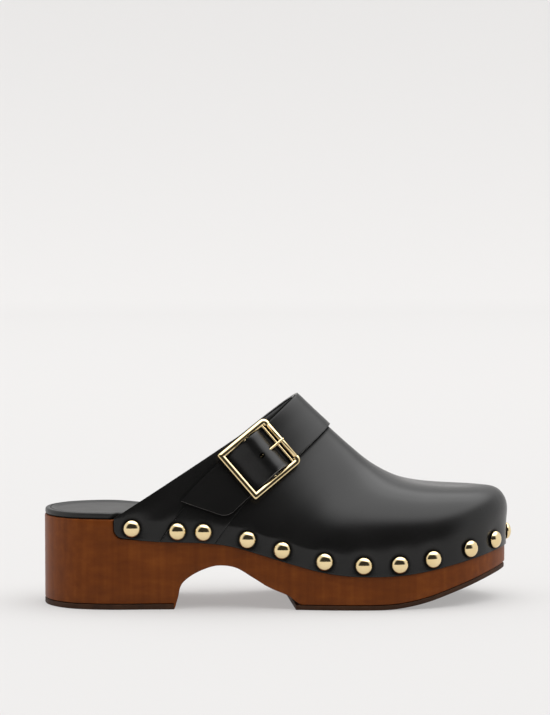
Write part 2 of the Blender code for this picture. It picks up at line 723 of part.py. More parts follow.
def make_buckle():
    gold = material("gold_metal", GOLD, 0.2, 1.0)
    slope = math.atan(FRAME_SLOPE)
    axes = AXES.matrix(0, CENTRE_BAR_LIFT, slope)
    frame = make_frame(axes)
    finish(frame, gold, 40)
    roller = make_roller()
    on_axle = Matrix.Translation((AXLE[0], 0, 0)) @ Matrix.Rotation(math.pi / 2, 4, "X")
    roller.matrix_world = axes @ on_axle
    finish(roller, gold, 40)
    finish(make_prong(), gold, 40)


def make_frame(axes):
    """Cast frame with its centre bar, guide bar and the axle of the roller."""
    outline = frame_outline()
    frame = slab("frame_arms", outline, -BUCKLE_THICKNESS / 2, BUCKLE_THICKNESS / 2)
    frame.name = "buckle_frame"
    edge = frame.modifiers.new("rounded", "BEVEL")
    edge.width = BUCKLE_EDGE
    edge.segments = 2
    edge.limit_method = "ANGLE"
    length = 2 * BUCKLE_HALF_WIDTH - BUCKLE_BAR
    for name, forward, radius in (("centre_bar", 0.0, CENTRE_BAR_RADIUS), ("guide_bar", *GUIDE_BAR),
                                  ("roller_axle", *AXLE)):
        bpy.ops.mesh.primitive_cylinder_add(vertices=12, radius=radius, depth=length,
                                            location=(forward, 0, 0), rotation=(math.pi / 2, 0, 0))
        bar = to_cutters(bpy.context.object)
        bar.name = name
        bar.matrix_world = axes @ bar.matrix_world
        cut(frame, bar, "UNION")
    frame.matrix_world = axes
    return frame


def make_roller():
    """Loose tube on the front axle, turned from its wall's section."""
    section = [(ROLLER_OUTER, ROLLER_HALF), (ROLLER_OUTER, -ROLLER_HALF),
               (ROLLER_INNER, -ROLLER_HALF), (ROLLER_INNER, ROLLER_HALF)]
    return turned("buckle_roller", section, closed=True, steps=16)


def turned(name, section, closed, steps):
    mesh = bpy.data.meshes.new(name)
    count = len(section)
    edges = [(i, (i + 1) % count) for i in range(count if closed else count - 1)]
    mesh.from_pydata([(r, 0, z) for r, z in section], edges, [])
    made = add_object(name, mesh)
    spin = made.modifiers.new("turn", "SCREW")
    spin.steps = steps
    spin.render_steps = steps
    spin.use_merge_vertices = True
    spin.merge_threshold = 0.01 * MM
    return made


def prong_height(forward):
    """Height of the prong's middle line: from the top of the centre bar to rest on the roller."""
    ring = CENTRE_BAR_RADIUS + GAP + PRONG_RADIUS
    start = CENTRE_BAR_LIFT + ring
    end = frame_height(AXLE[0]) + ROLLER_OUTER + GAP + PRONG_RADIUS
    return start + (end - start) * forward / AXLE[0]


def make_prong():
    """Wire looped round the centre bar and laid over the roller, with its origin on the bar's axis."""
    ring = CENTRE_BAR_RADIUS + GAP + PRONG_RADIUS
    loop = np.linspace(-0.25 * math.pi, -1.5 * math.pi, 12)
    path = [(ring * math.cos(a), ring * math.sin(a)) for a in loop]
    path += [(x * MM, prong_height(x * MM) - CENTRE_BAR_LIFT) for x in (4, 8, 12, 16.8)]
    curve = bpy.data.curves.new("buckle_prong_path", "CURVE")
    curve.dimensions = "3D"
    curve.bevel_depth = PRONG_RADIUS
    curve.bevel_resolution = 2
    curve.use_fill_caps = True
    spline = curve.splines.new("POLY")
    spline.points.add(len(path) - 1)
    for point, (forward, up) in zip(spline.points, path):
        point.co = (forward, 0, up, 1)
    wire = add_object("buckle_prong_path", curve)
    prong = baked(wire, "buckle_prong")
    prong.matrix_world = AXES.matrix(0, CENTRE_BAR_LIFT)
    return prong


# ---------------------------------------------------------------- studs
def stud_section():
    """Half section of a domed nail: dome, flat underside and shank, from the top down."""
    quarter = np.linspace(0, math.pi / 2, 5)
    dome = [(STUD_RADIUS * math.sin(a), STUD_HEIGHT * math.cos(a)) for a in quarter]
    return dome + [(NAIL_RADIUS, 0.0), (NAIL_RADIUS, 1 * MM - NAIL_LENGTH), (0.0, -NAIL_LENGTH)]


def stud_places():
    """Place, outward direction and side of every stud, round the edge from the outer side's rear."""
    outer = sole_side(False)
    inner = sole_side(True)
    found = [on_side(outer, x * MM) for x in OUTER_STUDS_X]
    for is_inner, distance in TOE_STUDS:
        found.append(before_tip(inner if is_inner else outer, distance * MM))
    return found + [on_side(inner, x * MM) for x in INNER_STUDS_X[::-1]]


def sole_side(inner):
    curve = edge_line(inner, LEATHER_PROUD)
    tangent = np.gradient(curve, axis=0)
    tangent /= np.linalg.norm(tangent, axis=1)[:, None]
    turn = -1 if inner else 1
    return curve, turn * np.stack([tangent[:, 1], -tangent[:, 0]], axis=1)


def on_side(side, x):
    curve, outward = side
    index = int(np.argmin(np.abs(curve[:, 0] - x)))
    return curve[index], outward[index]


def before_tip(side, distance):
    curve, outward = side
    length = np.cumsum(np.linalg.norm(np.diff(curve, axis=0), axis=1))
    index = int(np.argmin(np.abs(length - (length[-1] - distance))))
    return curve[index], outward[index]


def make_studs():
    """Domed nails round the edge, and the cutter that clears their shanks."""
    gold = material("gold_metal", GOLD, 0.2, 1.0)
    under = dict.fromkeys(CHAPE_STUDS, CHAPE + GAP) | dict.fromkeys(STRAP_STUDS, STRAP + GAP)
    shanks = bmesh.new()
    for number, (place, outward) in enumerate(stud_places(), start=1):
        lift = GAP + under.get(number, 0.0)
        z = float(leather_edge(place[0])) + STUD_RISE
        out = Vector((outward[0], outward[1], 0)).normalized()
        turn = out.to_track_quat("Z", "Y").to_matrix().to_4x4()
        turn.translation = Vector((*place, z)) + out * lift
        stud = turned(f"stud_{number:02d}", stud_section(), closed=False, steps=12)
        stud.matrix_world = turn
        finish(stud, gold, 50)
        depth = NAIL_LENGTH + GAP + NAIL_CLEARANCE
        made = bmesh.ops.create_cone(shanks, cap_ends=True, segments=8, radius1=NAIL_RADIUS + GAP,
                                     radius2=NAIL_RADIUS + GAP, depth=depth)
        middle = Matrix.Translation((0, 0, NAIL_CLEARANCE - depth / 2))
        bmesh.ops.transform(shanks, matrix=turn @ middle, verts=made["verts"])
    mesh = bpy.data.meshes.new("nail_space")
    shanks.to_mesh(mesh)
    shanks.free()
    return add_object("nail_space", mesh, "cutters")


def main():
    start_scene()
    wood = make_wood()
    make_heel_tread()
    make_forefoot_tread()
    make_footbed()
    vamp = make_vamp()
    make_lining()
    make_toe_puff()
    chape = make_chape()
    strap = make_instep_strap()
    make_buckle()
    nail_space = make_studs()
    for pierced in (wood, vamp, chape, strap):
        cut(pierced, nail_space)


main()
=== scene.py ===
"""The looks of the wooden clog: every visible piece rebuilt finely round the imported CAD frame.

Metres, +Z up, +X to the toe, -Y to the outer side of the foot.
"""
import math

import bmesh
import bpy
import numpy as np
from mathutils import Matrix, Vector
from mathutils.kdtree import KDTree


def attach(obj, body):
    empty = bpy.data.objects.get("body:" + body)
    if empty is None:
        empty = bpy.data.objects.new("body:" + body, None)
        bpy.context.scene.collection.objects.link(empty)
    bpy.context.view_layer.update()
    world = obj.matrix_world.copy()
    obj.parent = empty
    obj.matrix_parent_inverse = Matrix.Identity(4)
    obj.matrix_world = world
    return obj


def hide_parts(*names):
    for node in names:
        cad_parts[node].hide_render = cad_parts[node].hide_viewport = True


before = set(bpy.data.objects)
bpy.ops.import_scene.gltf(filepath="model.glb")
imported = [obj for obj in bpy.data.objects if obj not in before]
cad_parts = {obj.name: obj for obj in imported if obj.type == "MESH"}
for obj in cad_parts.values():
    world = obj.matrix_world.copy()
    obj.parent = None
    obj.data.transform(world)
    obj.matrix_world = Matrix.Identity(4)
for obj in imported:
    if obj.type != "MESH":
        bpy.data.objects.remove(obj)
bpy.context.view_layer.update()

MM = 0.001
GAP = 0.3 * MM

# ---------------- driving dimensions, as in the CAD
FOOTBED_RISE = 10.5 * MM
SHOULDER_CLEARANCE = 1.0 * MM
REBATE_DEPTH = 1.6 * MM
LEATHER = 1.9 * MM
LEATHER_PROUD = 1.0 * MM
LINING = 0.9 * MM
LINING_DROP_AT_TOE = 1.5 * MM
STRAP = 1.5 * MM
CHAPE = 1.0 * MM
INNER_STRAP_LIFT = 0.5 * MM
STRAP_WIDTH = 25.2 * MM
HEEL_TREAD = 3.0 * MM
FOREFOOT_TREAD = 2.6 * MM
TREAD_CORNER = 0.5 * MM
WOOD_CORNER = 0.6 * MM
FOOTBED = 3.6 * MM
FOOTBED_ROLL = 1.0 * MM          # radius of the footbed's rounded upper edge
FOOTBED_RIM = 7.0 * MM           # how far in its padded rim reaches
FOOTBED_HOLLOW = 0.7 * MM
FOOTBED_BESIDE_UPPER = 1.2 * MM  # how far it draws back beside the leather's rear end
FOOTBED_UNDER_UPPER = 3.7 * MM   # and how much further inside the upper
FOOTBED_SEAM = ((2.5 * MM, 0.0), (2.8 * MM, 0.4 * MM), (3.1 * MM, 0.4 * MM), (3.4 * MM, 0.0))
UPPER_REAR_OUTER = -93.2 * MM
UPPER_REAR_INNER = -68.0 * MM
HEEL_FRONT = -60.4 * MM
REAR_CORNER = 5.6 * MM
STUD_RADIUS = 4.8 * MM
STUD_HEIGHT = 3.0 * MM
STUD_RISE = 6.4 * MM

# outline of the sole seen from above, from the back of the heel to the tip of the toe (mm)
HEEL_BACK = (-130.5, 2)
TOE_TIP = (128.2, 3)
OUTER_SIDE = [(-127.5, -12), (-117, -24.5), (-98, -31), (-72, -32.5), (-35, -34), (0, -39.5), (30, -45),
              (55, -46.3), (80, -42.8), (102, -33.5), (118.5, -18.5), (126.7, -5)]
INNER_SIDE = [(-127.5, 16), (-117, 27.5), (-98, 33), (-72, 33), (-35, 32), (0, 36.5), (30, 44),
              (55, 46.8), (80, 44.8), (102, 37.5), (118.5, 24), (126.7, 10.5)]

# heights along the clog, as (x, z) in mm
LEATHER_EDGE = [(-140, 39), (-91, 39), (-70, 37.3), (-42, 36.2), (-28, 34.2), (-13, 30), (3, 25.2),
                (18, 21.2), (33, 18.9), (48, 18.3), (64, 18.8), (80, 20.9), (95, 23.8), (110, 26.7),
                (122, 29), (140, 32)]
INSTEP = [(0, 122.5), (9, 115), (18, 106.5), (28, 97.2), (40, 86.4), (51, 77.4), (62.6, 70.8), (74, 66.6),
          (85, 64.4), (98, 63.5), (112, 63.4)]
ARCH_REAR = [(-60.4, 0), (-58.9, 4), (-57.8, 8), (-57, 12), (-55.2, 15), (-50.4, 18.8),
             (-43.4, 22.2), (-36.5, 24)]
ARCH_FRONT = [(-27, 23), (-17.5, 17.6), (-7, 10.9), (1.7, 5.3), (9, 0)]
TOE_ROCKER = [(50, 0), (60, 0.4), (70, 1.8), (80, 4), (92, 7.6), (104, 11.2), (118, 15.2), (130, 18)]

# middle line of the strap seen from the side, from the free end up to the instep, as (x, z) in mm
STRAP_OUTER_SIDE = [(-47.3, 51), (-36.8, 62), (-27.3, 70.3), (-13.2, 81.2), (0.7, 91.7)]
STRAP_TOP = (18.6, 107)
STRAP_INNER_SIDE = [(8, 96), (-4, 81), (-15, 64), (-24, 47), (-30, 34), (-35, 22)]
CHAPE_ROUTE = [(-61, 26), (-53, 37), (-42.5, 52), (-27.5, 69.5), (-13.2, 81.2)]
BUCKLE_PLACE = (-13.2, 81.2)
TAB_SLANT = 10.8 * MM           # the strap's free end is cut aslant by this much
TAB_CORNER = 4.5 * MM           # and its shorter corner is rounded
STRAP_LIFT = [(-90, 1.6), (-20, 1.6), (-12.5, 1.6), (-10, 2.4), (-7.5, 3.8), (-5, 5.1), (-2.5, 6.4),
              (0, 7.6), (3, 7.6), (5.5, 6.5), (8, 4.2), (10.7, 1.5), (12.8, 0.6), (15, 0.5), (200, 0.5)]
CHAPE_FLAP = [(-2.5, 5.7), (-5, 4.4), (-7.5, 3.2)]

BUCKLE_HALF_LENGTH = 17.7 * MM
BUCKLE_HALF_WIDTH = 16.2 * MM
BUCKLE_BAR = 3.4 * MM
BUCKLE_THICKNESS = 2.4 * MM
BUCKLE_CORNER = 3.5 * MM
REAR_ROUNDING = 1.3 * MM
BAR_FULLNESS = 0.85
CENTRE_BAR_RADIUS = 0.8 * MM
CENTRE_BAR_LIFT = 4.15 * MM
FRAME_SLOPE = 0.035
GUIDE_BAR = (13.1 * MM, 0.7 * MM)
AXLE = (16.2 * MM, 0.62 * MM)
ROLLER_INNER = 0.92 * MM
ROLLER_OUTER = 1.3 * MM
ROLLER_HALF = 11.6 * MM
PRONG_RADIUS = 0.7 * MM
HOLE_RADIUS = 1.5 * MM
PRONG_HOLE_FORWARD = 7.8 * MM
PRONG_HOLE_LENGTH = 7.2 * MM
EMPTY_HOLE_RADIUS = 1.5 * MM
EMPTY_HOLE_PLACE = (0.6 * MM, 9.1 * MM)
EMPTY_HOLE_LENGTH = 3.4 * MM
PRONG_SLOT = (8.0 * MM, 2.4 * MM, 7.6 * MM)

OUTER_STUDS_X = [-82.9, -59.2, -44.3, -20.2, -1.3, 21.8, 42.6, 62.6, 81.4, 103.3]
TOE_STUDS = [(False, 23.7), (True, 1.5), (True, 24)]
INNER_STUDS_X = [-59, -42, -26, -4, 18, 40, 61, 81]
CHAPE_STUDS = (2, 3)
STRAP_STUDS = (19, 20)
HEEL_TREAD_SPAN = (-0.1305, HEEL_FRONT)
FOREFOOT_TREAD_SPAN = (6 * MM, 0.127)
OUTLINE_STEPS = 24               # points of the sole's outline between two listed ones

# the main view: the camera looks at a point above the clog, so that the clog sits low in the frame
VIEW_AZIMUTH = -5.0
VIEW_ELEVATION = 7.0
VIEW_DISTANCE = 1.6
VIEW_CENTRE = Vector((0, 0, 0.05))
VIEW_RAISED = 0.0858
VIEW_SHIFTED = -0.002
VIEW_WIDTH = 0.3086

# the studio: how bright the room is round the clog, and the paper that the clog stands on
LIGHT_FROM = (0.2, 0.0, 0.95)
LIGHT_IN_FRONT = 0.035
LIGHT_BESIDE = 0.9
LIGHT_ABOVE = 3.1
PAPER = (0.3, 0.296, 0.293, 1)
PAPER_TINT = (1, 0.984, 0.974, 1)
PAPER_GLOW = 0.365
BACKDROP_GLOW = 0.155
FLOOR_FRONT = -3.0
FLOOR_BACK = 3.5
FLOOR_HALF_WIDTH = 6.0
BACKDROP_RADIUS = 1.5
BACKDROP_HEIGHT = 2.6
BACKDROP_LIGHT_POWER = 12

# leathers: darkest and lightest dye, lowest and highest roughness, strength of the grain, shine
BLACK_LEATHER = ((0.006, 0.0059, 0.0057), (0.009, 0.0088, 0.0085), 0.22, 0.29, 0.12, 0.34)
SOCK_LEATHER = ((0.010, 0.010, 0.0095), (0.016, 0.016, 0.015), 0.36, 0.46, 0.2, 0.34)
LINING_LEATHER = ((0.012, 0.012, 0.012), (0.02, 0.02, 0.02), 0.5, 0.65, 0.3, 0.34)
CUT_EDGE = ((0.18, 0.175, 0.168), (0.25, 0.243, 0.233), 0.5, 0.6, 0.3, 0.5)

# other materials: colours from dark to light, each at its place on the noise's scale
WOOD_STAIN = [(0.3, (0.112, 0.026, 0.0025)), (0.5, (0.16, 0.038, 0.004)), (0.7, (0.215, 0.056, 0.007))]
RUBBER_BROWN = [(0.3, (0.032, 0.013, 0.0055)), (0.7, (0.055, 0.022, 0.009))]
PALE_GOLD = [(0.3, (0.86, 0.67, 0.36)), (0.7, (0.92, 0.74, 0.43))]


# ---------------- curves
def smooth_through(points, closed=False, per_span=6):
    """Points on a centripetal Catmull-Rom curve through given points."""
    p = np.asarray(points, float)
    if closed:
        p = np.vstack([p[-1], p, p[0], p[1]])
    else:
        p = np.vstack([2 * p[0] - p[1], p, 2 * p[-1] - p[-2]])
    t = np.linspace(0, 1, per_span, endpoint=False)[:, None]
    spans = []
    for a, b, c, d in zip(p[:-3], p[1:-2], p[2:-1], p[3:]):
        ta, tb, tc = (np.linalg.norm(step) ** 0.5 for step in (b - a, c - b, d - c))
        start = (c - b) + tb * ((b - a) / ta - (c - a) / (ta + tb))
        end = (c - b) + tb * ((d - c) / tc - (d - b) / (tb + tc))
        spans.append((2 * t**3 - 3 * t**2 + 1) * b + (t**3 - 2 * t**2 + t) * start
                     + (3 * t**2 - 2 * t**3) * c + (t**3 - t**2) * end)
    if not closed:
        spans.append(p[-2:-1])
    return np.vstack(spans)


def height_at(line, x):
    """Height in metres of a listed (x, z) line, for x in metres."""
    curve = smooth_through(line, per_span=16) * MM
    return np.interp(x, curve[:, 0], curve[:, 1])


def leather_edge(x):
    return height_at(LEATHER_EDGE, x)


def wood_top(x):
    return leather_edge(x) + FOOTBED_RISE


def smoothstep(low, high, x):
    t = np.clip((x - low) / (high - low), 0, 1)
    return t * t * (3 - 2 * t)


def sole_outline(offset=0.0):
    """Closed outline of the sole in metres, moved outward by offset."""
    points = [HEEL_BACK] + OUTER_SIDE + [TOE_TIP] + INNER_SIDE[::-1]
    curve = smooth_through(points, closed=True, per_span=OUTLINE_STEPS) * MM
    return move_outward(curve, offset)


def move_outward(curve, offset):
    tangent = np.roll(curve, -1, axis=0) - np.roll(curve, 1, axis=0)
    tangent /= np.linalg.norm(tangent, axis=1)[:, None]
    outward = np.stack([tangent[:, 1], -tangent[:, 0]], axis=1)
    return curve + outward * np.reshape(offset, (-1, 1))


def edge_line(inner, offset):
    """Plan of the leather's edge on one side, from its rear end to the tip of the toe."""
    outline = sole_outline(offset)
    tip = OUTLINE_STEPS * (len(OUTER_SIDE) + 1)
    side = outline[tip:][::-1] if inner else outline[: tip + 1]
    rear = UPPER_REAR_INNER if inner else UPPER_REAR_OUTER
    start = np.array([rear, np.interp(rear, side[:, 0], side[:, 1])])
    return np.vstack([start, side[side[:, 0] > rear + 0.2 * MM]])


def sole_sides():
    """The outer and the inner side of the sole, each from the back of the heel to the tip of the toe."""
    tip = OUTLINE_STEPS * (len(OUTER_SIDE) + 1)
    outline = sole_outline()
    return outline[: tip + 1], np.vstack([outline[tip:], outline[:1]])[::-1]


def outward_normals(curve, inner):
    """Directions away from the clog along one of its sides."""
    tangent = np.gradient(curve, axis=0)
    tangent /= np.linalg.norm(tangent, axis=1)[:, None]
    turn = -1 if inner else 1
    return turn * np.stack([tangent[:, 1], -tangent[:, 0]], axis=1)


def length_along(curve):
    """Distance from the start of a line of points to each of them."""
    return np.concatenate([[0], np.cumsum(np.linalg.norm(np.diff(curve, axis=0), axis=1))])


def at_fraction(curve, fraction):
    """The place at a fraction of a line's length."""
    length = length_along(curve)
    wanted = fraction * length[-1]
    return np.stack([np.interp(wanted, length, curve[:, k]) for k in (0, 1)], axis=-1)


# ---------------- the leather surface
OUTER_EDGE = edge_line(False, LEATHER_PROUD)
INNER_EDGE = edge_line(True, LEATHER_PROUD)
TOPLINE_X = 9.0 * MM
RIDGE_END_X = 107.5 * MM
RIDGE_Y = 1.0 * MM
SIDE_BOXINESS = (2.0, 0.9)
RISE_BOXINESS = (1.65, 0.65)
TIP_BOXINESS = 1.3
TOE_SWELL = 0.7 * MM


def upper_point(u, v, inner):
    """Outer surface of the vamp. u runs from the topline (0) to the toe (1), v from the edge (0) up over
    the skirt nailed to the wood (below 0) to the ridge of the instep (1). inner picks the side."""
    edge = at_fraction(INNER_EDGE if inner else OUTER_EDGE, u)
    edge_x, edge_y = edge[..., 0], edge[..., 1]
    ridge_x = TOPLINE_X + (RIDGE_END_X - TOPLINE_X) * u
    low = leather_edge(edge_x) + GAP
    shoulder = wood_top(edge_x) + SHOULDER_CLEARANCE
    high = height_at(INSTEP, ridge_x)
    angle = np.clip(v, 0, 1) * math.pi / 2
    toe = smoothstep(0.35, 0.75, u)
    tip = smoothstep(0.7, 0.97, u)
    side_power, rise_power = (start + more * toe + TIP_BOXINESS * tip
                              for start, more in (SIDE_BOXINESS, RISE_BOXINESS))
    side = np.clip(np.cos(angle), 0, 1) ** (2 / side_power)
    rise = np.clip(np.sin(angle), 0, 1) ** (2 / rise_power)
    lean = (1 - toe) * rise + toe * (1 - side)
    swell = TOE_SWELL * tip * np.sin(np.clip(rise, 0, 1) * math.pi) ** 2
    x = edge_x + (ridge_x - edge_x) * lean + swell
    y = RIDGE_Y + (edge_y - RIDGE_Y) * side
    z = shoulder + (high - shoulder) * rise
    skirt = np.clip(-v, 0, 1)
    z = z - skirt * (shoulder - low)
    return np.stack([x, y, z], axis=-1)


def upper_grid(u, v):
    """Surface points and outward normals over the whole vamp: v from -1 (outer edge) over the ridge (1)
    to 3 (inner edge)."""
    v = np.asarray(v, float)
    u = np.asarray(u, float)
    if u.ndim == 1:
        u, v = np.meshgrid(u, v, indexing="ij")
    step = 1e-3

    def point(uu, vv):
        uu = np.clip(uu, 0, 1)
        return np.where((vv > 1)[..., None], upper_point(uu, 2 - vv, True), upper_point(uu, vv, False))

    here = point(u, v)
    du = point(u + step, v) - point(u - step, v)
    dv = point(u, np.minimum(v + step, 3)) - point(u, np.maximum(v - step, -1))
    normal = np.cross(du, dv)
    length = np.linalg.norm(normal, axis=-1, keepdims=True)
    return here, normal / np.maximum(length, 1e-12)


def dense_surface():
    points, normals = upper_grid(np.linspace(0, 0.9, 240), np.linspace(-1, 3, 320))
    points = points.reshape(-1, 3)
    normals = normals.reshape(-1, 3)
    tree = KDTree(len(points))
    for index, point in enumerate(points):
        tree.insert(point, index)
    tree.balance()
    return points, normals, tree


POINTS, NORMALS, TREE = dense_surface()


def nearest_on_upper(place):
    """Smoothed foot point and normal of the vamp's surface below a place."""
    found = TREE.find_n(Vector(place), 12)
    index = [hit[1] for hit in found]
    normal = NORMALS[index].mean(axis=0)
    normal /= np.linalg.norm(normal)
    base = POINTS[index].mean(axis=0)
    offset = np.asarray(place) - base
    return base + offset - normal * float(offset @ normal), normal


def side_view_point(x, z, inner=False):
    """The point of the vamp's surface seen at (x, z) from the side."""
    keep = (POINTS[:, 1] > RIDGE_Y) if inner else (POINTS[:, 1] <= RIDGE_Y)
    side = POINTS[keep]
    near = np.argsort((side[:, 0] - x) ** 2 + (side[:, 2] - z) ** 2)[:6]
    return np.array([x, side[near, 1].mean(), z])


def surface_frame(x, z, inner=False):
    return nearest_on_upper(side_view_point(x * MM, z * MM, inner))


# ---------------- making pieces
def add_piece(name, data, look, body="clog", stands_for=()):
    """Links a new piece, gives it its material and ties it to a CAD body."""
    made = bpy.data.objects.new(name, data)
    bpy.context.scene.collection.objects.link(made)
    made.data.materials.clear()
    made.data.materials.append(look)
    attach(made, body)
    if stands_for:
        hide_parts(*stands_for)
    return made


def grid_mesh(name, rows, close_across=False):
    """Sheet of faces through a grid of points, welded where points meet."""
    rows = np.asarray(rows)
    count, width = rows.shape[:2]
    mesh = bpy.data.meshes.new(name)
    faces = []
    for i in range(count - 1):
        for j in range(width if close_across else width - 1):
            k = (j + 1) % width
            faces.append((i * width + j, (i + 1) * width + j, (i + 1) * width + k, i * width + k))
    mesh.from_pydata([tuple(p) for p in rows.reshape(-1, 3)], [], faces)
    weld(mesh)
    mesh.shade_smooth()
    return mesh


def weld(mesh, distance=0.005 * MM, cap=False):
    work = bmesh.new()
    work.from_mesh(mesh)
    bmesh.ops.remove_doubles(work, verts=work.verts, dist=distance)
    bmesh.ops.dissolve_degenerate(work, edges=work.edges, dist=distance)
    if cap:
        bmesh.ops.holes_fill(work, edges=[e for e in work.edges if e.is_boundary], sides=0)
    bmesh.ops.recalc_face_normals(work, faces=work.faces)
    work.to_mesh(mesh)
    work.free()


def solidify(made, thickness, outward=True, edge_look=None):
    """Gives a sheet its thickness, with its own material on the cut edge if one is given."""
    step = made.modifiers.new("thickness", "SOLIDIFY")
    step.thickness = thickness
    step.offset = 1 if outward else -1
    step.use_even_offset = True
    if edge_look is not None:
        made.data.materials.append(edge_look)
        step.material_offset_rim = 1


def round_edges(made, width, segments=3, angle=50):
    edge = made.modifiers.new("rounded", "BEVEL")
    edge.width = width
    edge.segments = segments
    edge.limit_method = "ANGLE"
    edge.angle_limit = math.radians(angle)
    edge.harden_normals = False


def cut(made, cutter):
    step = made.modifiers.new("cut", "BOOLEAN")
    step.operation = "DIFFERENCE"
    step.object = cutter


def apply_all(made, smooth_angle):
    """Bakes the modifiers into the mesh, so that cutters can be removed."""
    graph = bpy.context.evaluated_depsgraph_get()
    mesh = bpy.data.meshes.new_from_object(made.evaluated_get(graph))
    made.modifiers.clear()
    made.data = mesh
    mesh.shade_smooth()
    mesh.set_sharp_from_angle(angle=math.radians(smooth_angle))


# ---------------- materials
def new_material(name):
    made = bpy.data.materials.new(name)
    made.use_nodes = True
    tree = made.node_tree
    return made, tree.nodes["Principled BSDF"], tree


def add_node(tree, kind, **values):
    node = tree.nodes.new(kind)
    for key, value in values.items():
        setattr(node, key, value)
    return node


def noise(tree, vector, scale, detail=4, roughness=0.5):
    node = add_node(tree, "ShaderNodeTexNoise")
    node.inputs["Scale"].default_value = scale
    node.inputs["Detail"].default_value = detail
    node.inputs["Roughness"].default_value = roughness
    tree.links.new(vector, node.inputs["Vector"])
    return node.outputs["Fac"]


def stretched(tree, scale=(1, 1, 1)):
    """Object coordinates stretched by a scale on each axis."""
    place = add_node(tree, "ShaderNodeTexCoord")
    mapping = add_node(tree, "ShaderNodeMapping")
    mapping.inputs["Scale"].default_value = scale
    tree.links.new(place.outputs["Object"], mapping.inputs["Vector"])
    return mapping.outputs["Vector"]


def ramp(tree, value, stops):
    node = add_node(tree, "ShaderNodeValToRGB")
    line = node.color_ramp
    while len(line.elements) < len(stops):
        line.elements.new(0.5)
    for element, (place, colour) in zip(line.elements, stops):
        element.position = place
        element.color = (*colour, 1)
    tree.links.new(value, node.inputs["Fac"])
    return node.outputs["Color"]


def number_range(tree, value, low, high):
    node = add_node(tree, "ShaderNodeMapRange")
    node.inputs["To Min"].default_value = low
    node.inputs["To Max"].default_value = high
    tree.links.new(value, node.inputs["Value"])
    return node.outputs["Result"]


def soft_step(tree, value, low, high):
    node = add_node(tree, "ShaderNodeMapRange", interpolation_type="SMOOTHSTEP")
    node.inputs["From Min"].default_value = low
    node.inputs["From Max"].default_value = high
    tree.links.new(value, node.inputs["Value"])
    return node.outputs["Result"]


def bump(tree, height, distance, strength, onto=None):
    node = add_node(tree, "ShaderNodeBump")
    node.inputs["Strength"].default_value = strength
    node.inputs["Distance"].default_value = distance
    tree.links.new(height, node.inputs["Height"])
    if onto is not None:
        tree.links.new(onto, node.inputs["Normal"])
    return node.outputs["Normal"]


def leather_look(name, dark, light, rough_low, rough_high, grain, shine):
    """Smooth dyed leather with close pores and a soft cloudy shine, which painted shade turns down in creases
    and under edges.
    """
    made, shader, tree = new_material(name)
    vector = stretched(tree)
    cloud = noise(tree, vector, scale=38, detail=3)
    tree.links.new(ramp(tree, cloud, [(0.3, dark), (0.7, light)]), shader.inputs["Base Color"])
    fine = noise(tree, vector, scale=900, detail=3)
    tree.links.new(number_range(tree, noise(tree, vector, scale=90, detail=5), rough_low, rough_high),
                   shader.inputs["Roughness"])
    cells = add_node(tree, "ShaderNodeTexVoronoi", feature="DISTANCE_TO_EDGE")
    cells.inputs["Scale"].default_value = 1100
    tree.links.new(vector, cells.inputs["Vector"])
    pores = bump(tree, cells.outputs["Distance"], 0.05 * MM, grain)
    tree.links.new(bump(tree, fine, 0.05 * MM, grain, pores), shader.inputs["Normal"])
    # painted shade: ambient occlusion dims the shine in creases, under edges and round the studs' rims
    painted_shade_ao = add_node(tree, "ShaderNodeAmbientOcclusion", samples=8)
    painted_shade_ao.inputs["Distance"].default_value = 2.5 * MM
    gloss_under_painted_shade = soft_step(tree, painted_shade_ao.outputs["AO"], low=0.68, high=0.98)
    tree.links.new(number_range(tree, gloss_under_painted_shade, low=0.0, high=shine), shader.inputs["Specular IOR Level"])
    return made


def wood_look():
    """Red-brown stained wood with a satin finish: fine grain along the sole, faint upright tool streaks."""
    made, shader, tree = new_material("stained_wood")
    grain = noise(tree, stretched(tree, (9, 60, 34)), scale=5, detail=8, roughness=0.62)
    streaks = noise(tree, stretched(tree, (150, 150, 6)), scale=2, detail=3, roughness=0.6)
    mixed = add_node(tree, "ShaderNodeMix", data_type="FLOAT")
    mixed.inputs["Factor"].default_value = 0.4
    tree.links.new(grain, mixed.inputs["A"])
    tree.links.new(streaks, mixed.inputs["B"])
    value = mixed.outputs["Result"]
    tree.links.new(ramp(tree, value, WOOD_STAIN), shader.inputs["Base Color"])
    tree.links.new(number_range(tree, grain, low=0.34, high=0.5), shader.inputs["Roughness"])
    tree.links.new(bump(tree, value, distance=0.06 * MM, strength=0.25), shader.inputs["Normal"])
    shader.inputs["Specular IOR Level"].default_value = 0.14
    return made


def rubber_look():
    """Dull dark-brown rubber, slightly rough all over."""
    made, shader, tree = new_material("brown_rubber")
    vector = stretched(tree)
    patches = noise(tree, vector, scale=120, detail=4)
    wear = noise(tree, vector, scale=300, detail=4)
    pits = noise(tree, vector, scale=900, detail=2)
    tree.links.new(ramp(tree, patches, RUBBER_BROWN), shader.inputs["Base Color"])
    tree.links.new(number_range(tree, wear, low=0.55, high=0.75), shader.inputs["Roughness"])
    tree.links.new(bump(tree, pits, distance=0.06 * MM, strength=0.5), shader.inputs["Normal"])
    shader.inputs["Specular IOR Level"].default_value = 0.2
    return made


def gold_look():
    """Polished pale-gold plating with faint rub marks."""
    made, shader, tree = new_material("gold_metal")
    vector = stretched(tree)
    patches = noise(tree, vector, scale=140, detail=3)
    rubs = noise(tree, vector, scale=500, detail=4)
    tree.links.new(ramp(tree, patches, PALE_GOLD), shader.inputs["Base Color"])
    tree.links.new(number_range(tree, rubs, low=0.07, high=0.13), shader.inputs["Roughness"])
    shader.inputs["Metallic"].default_value = 1.0
    return made


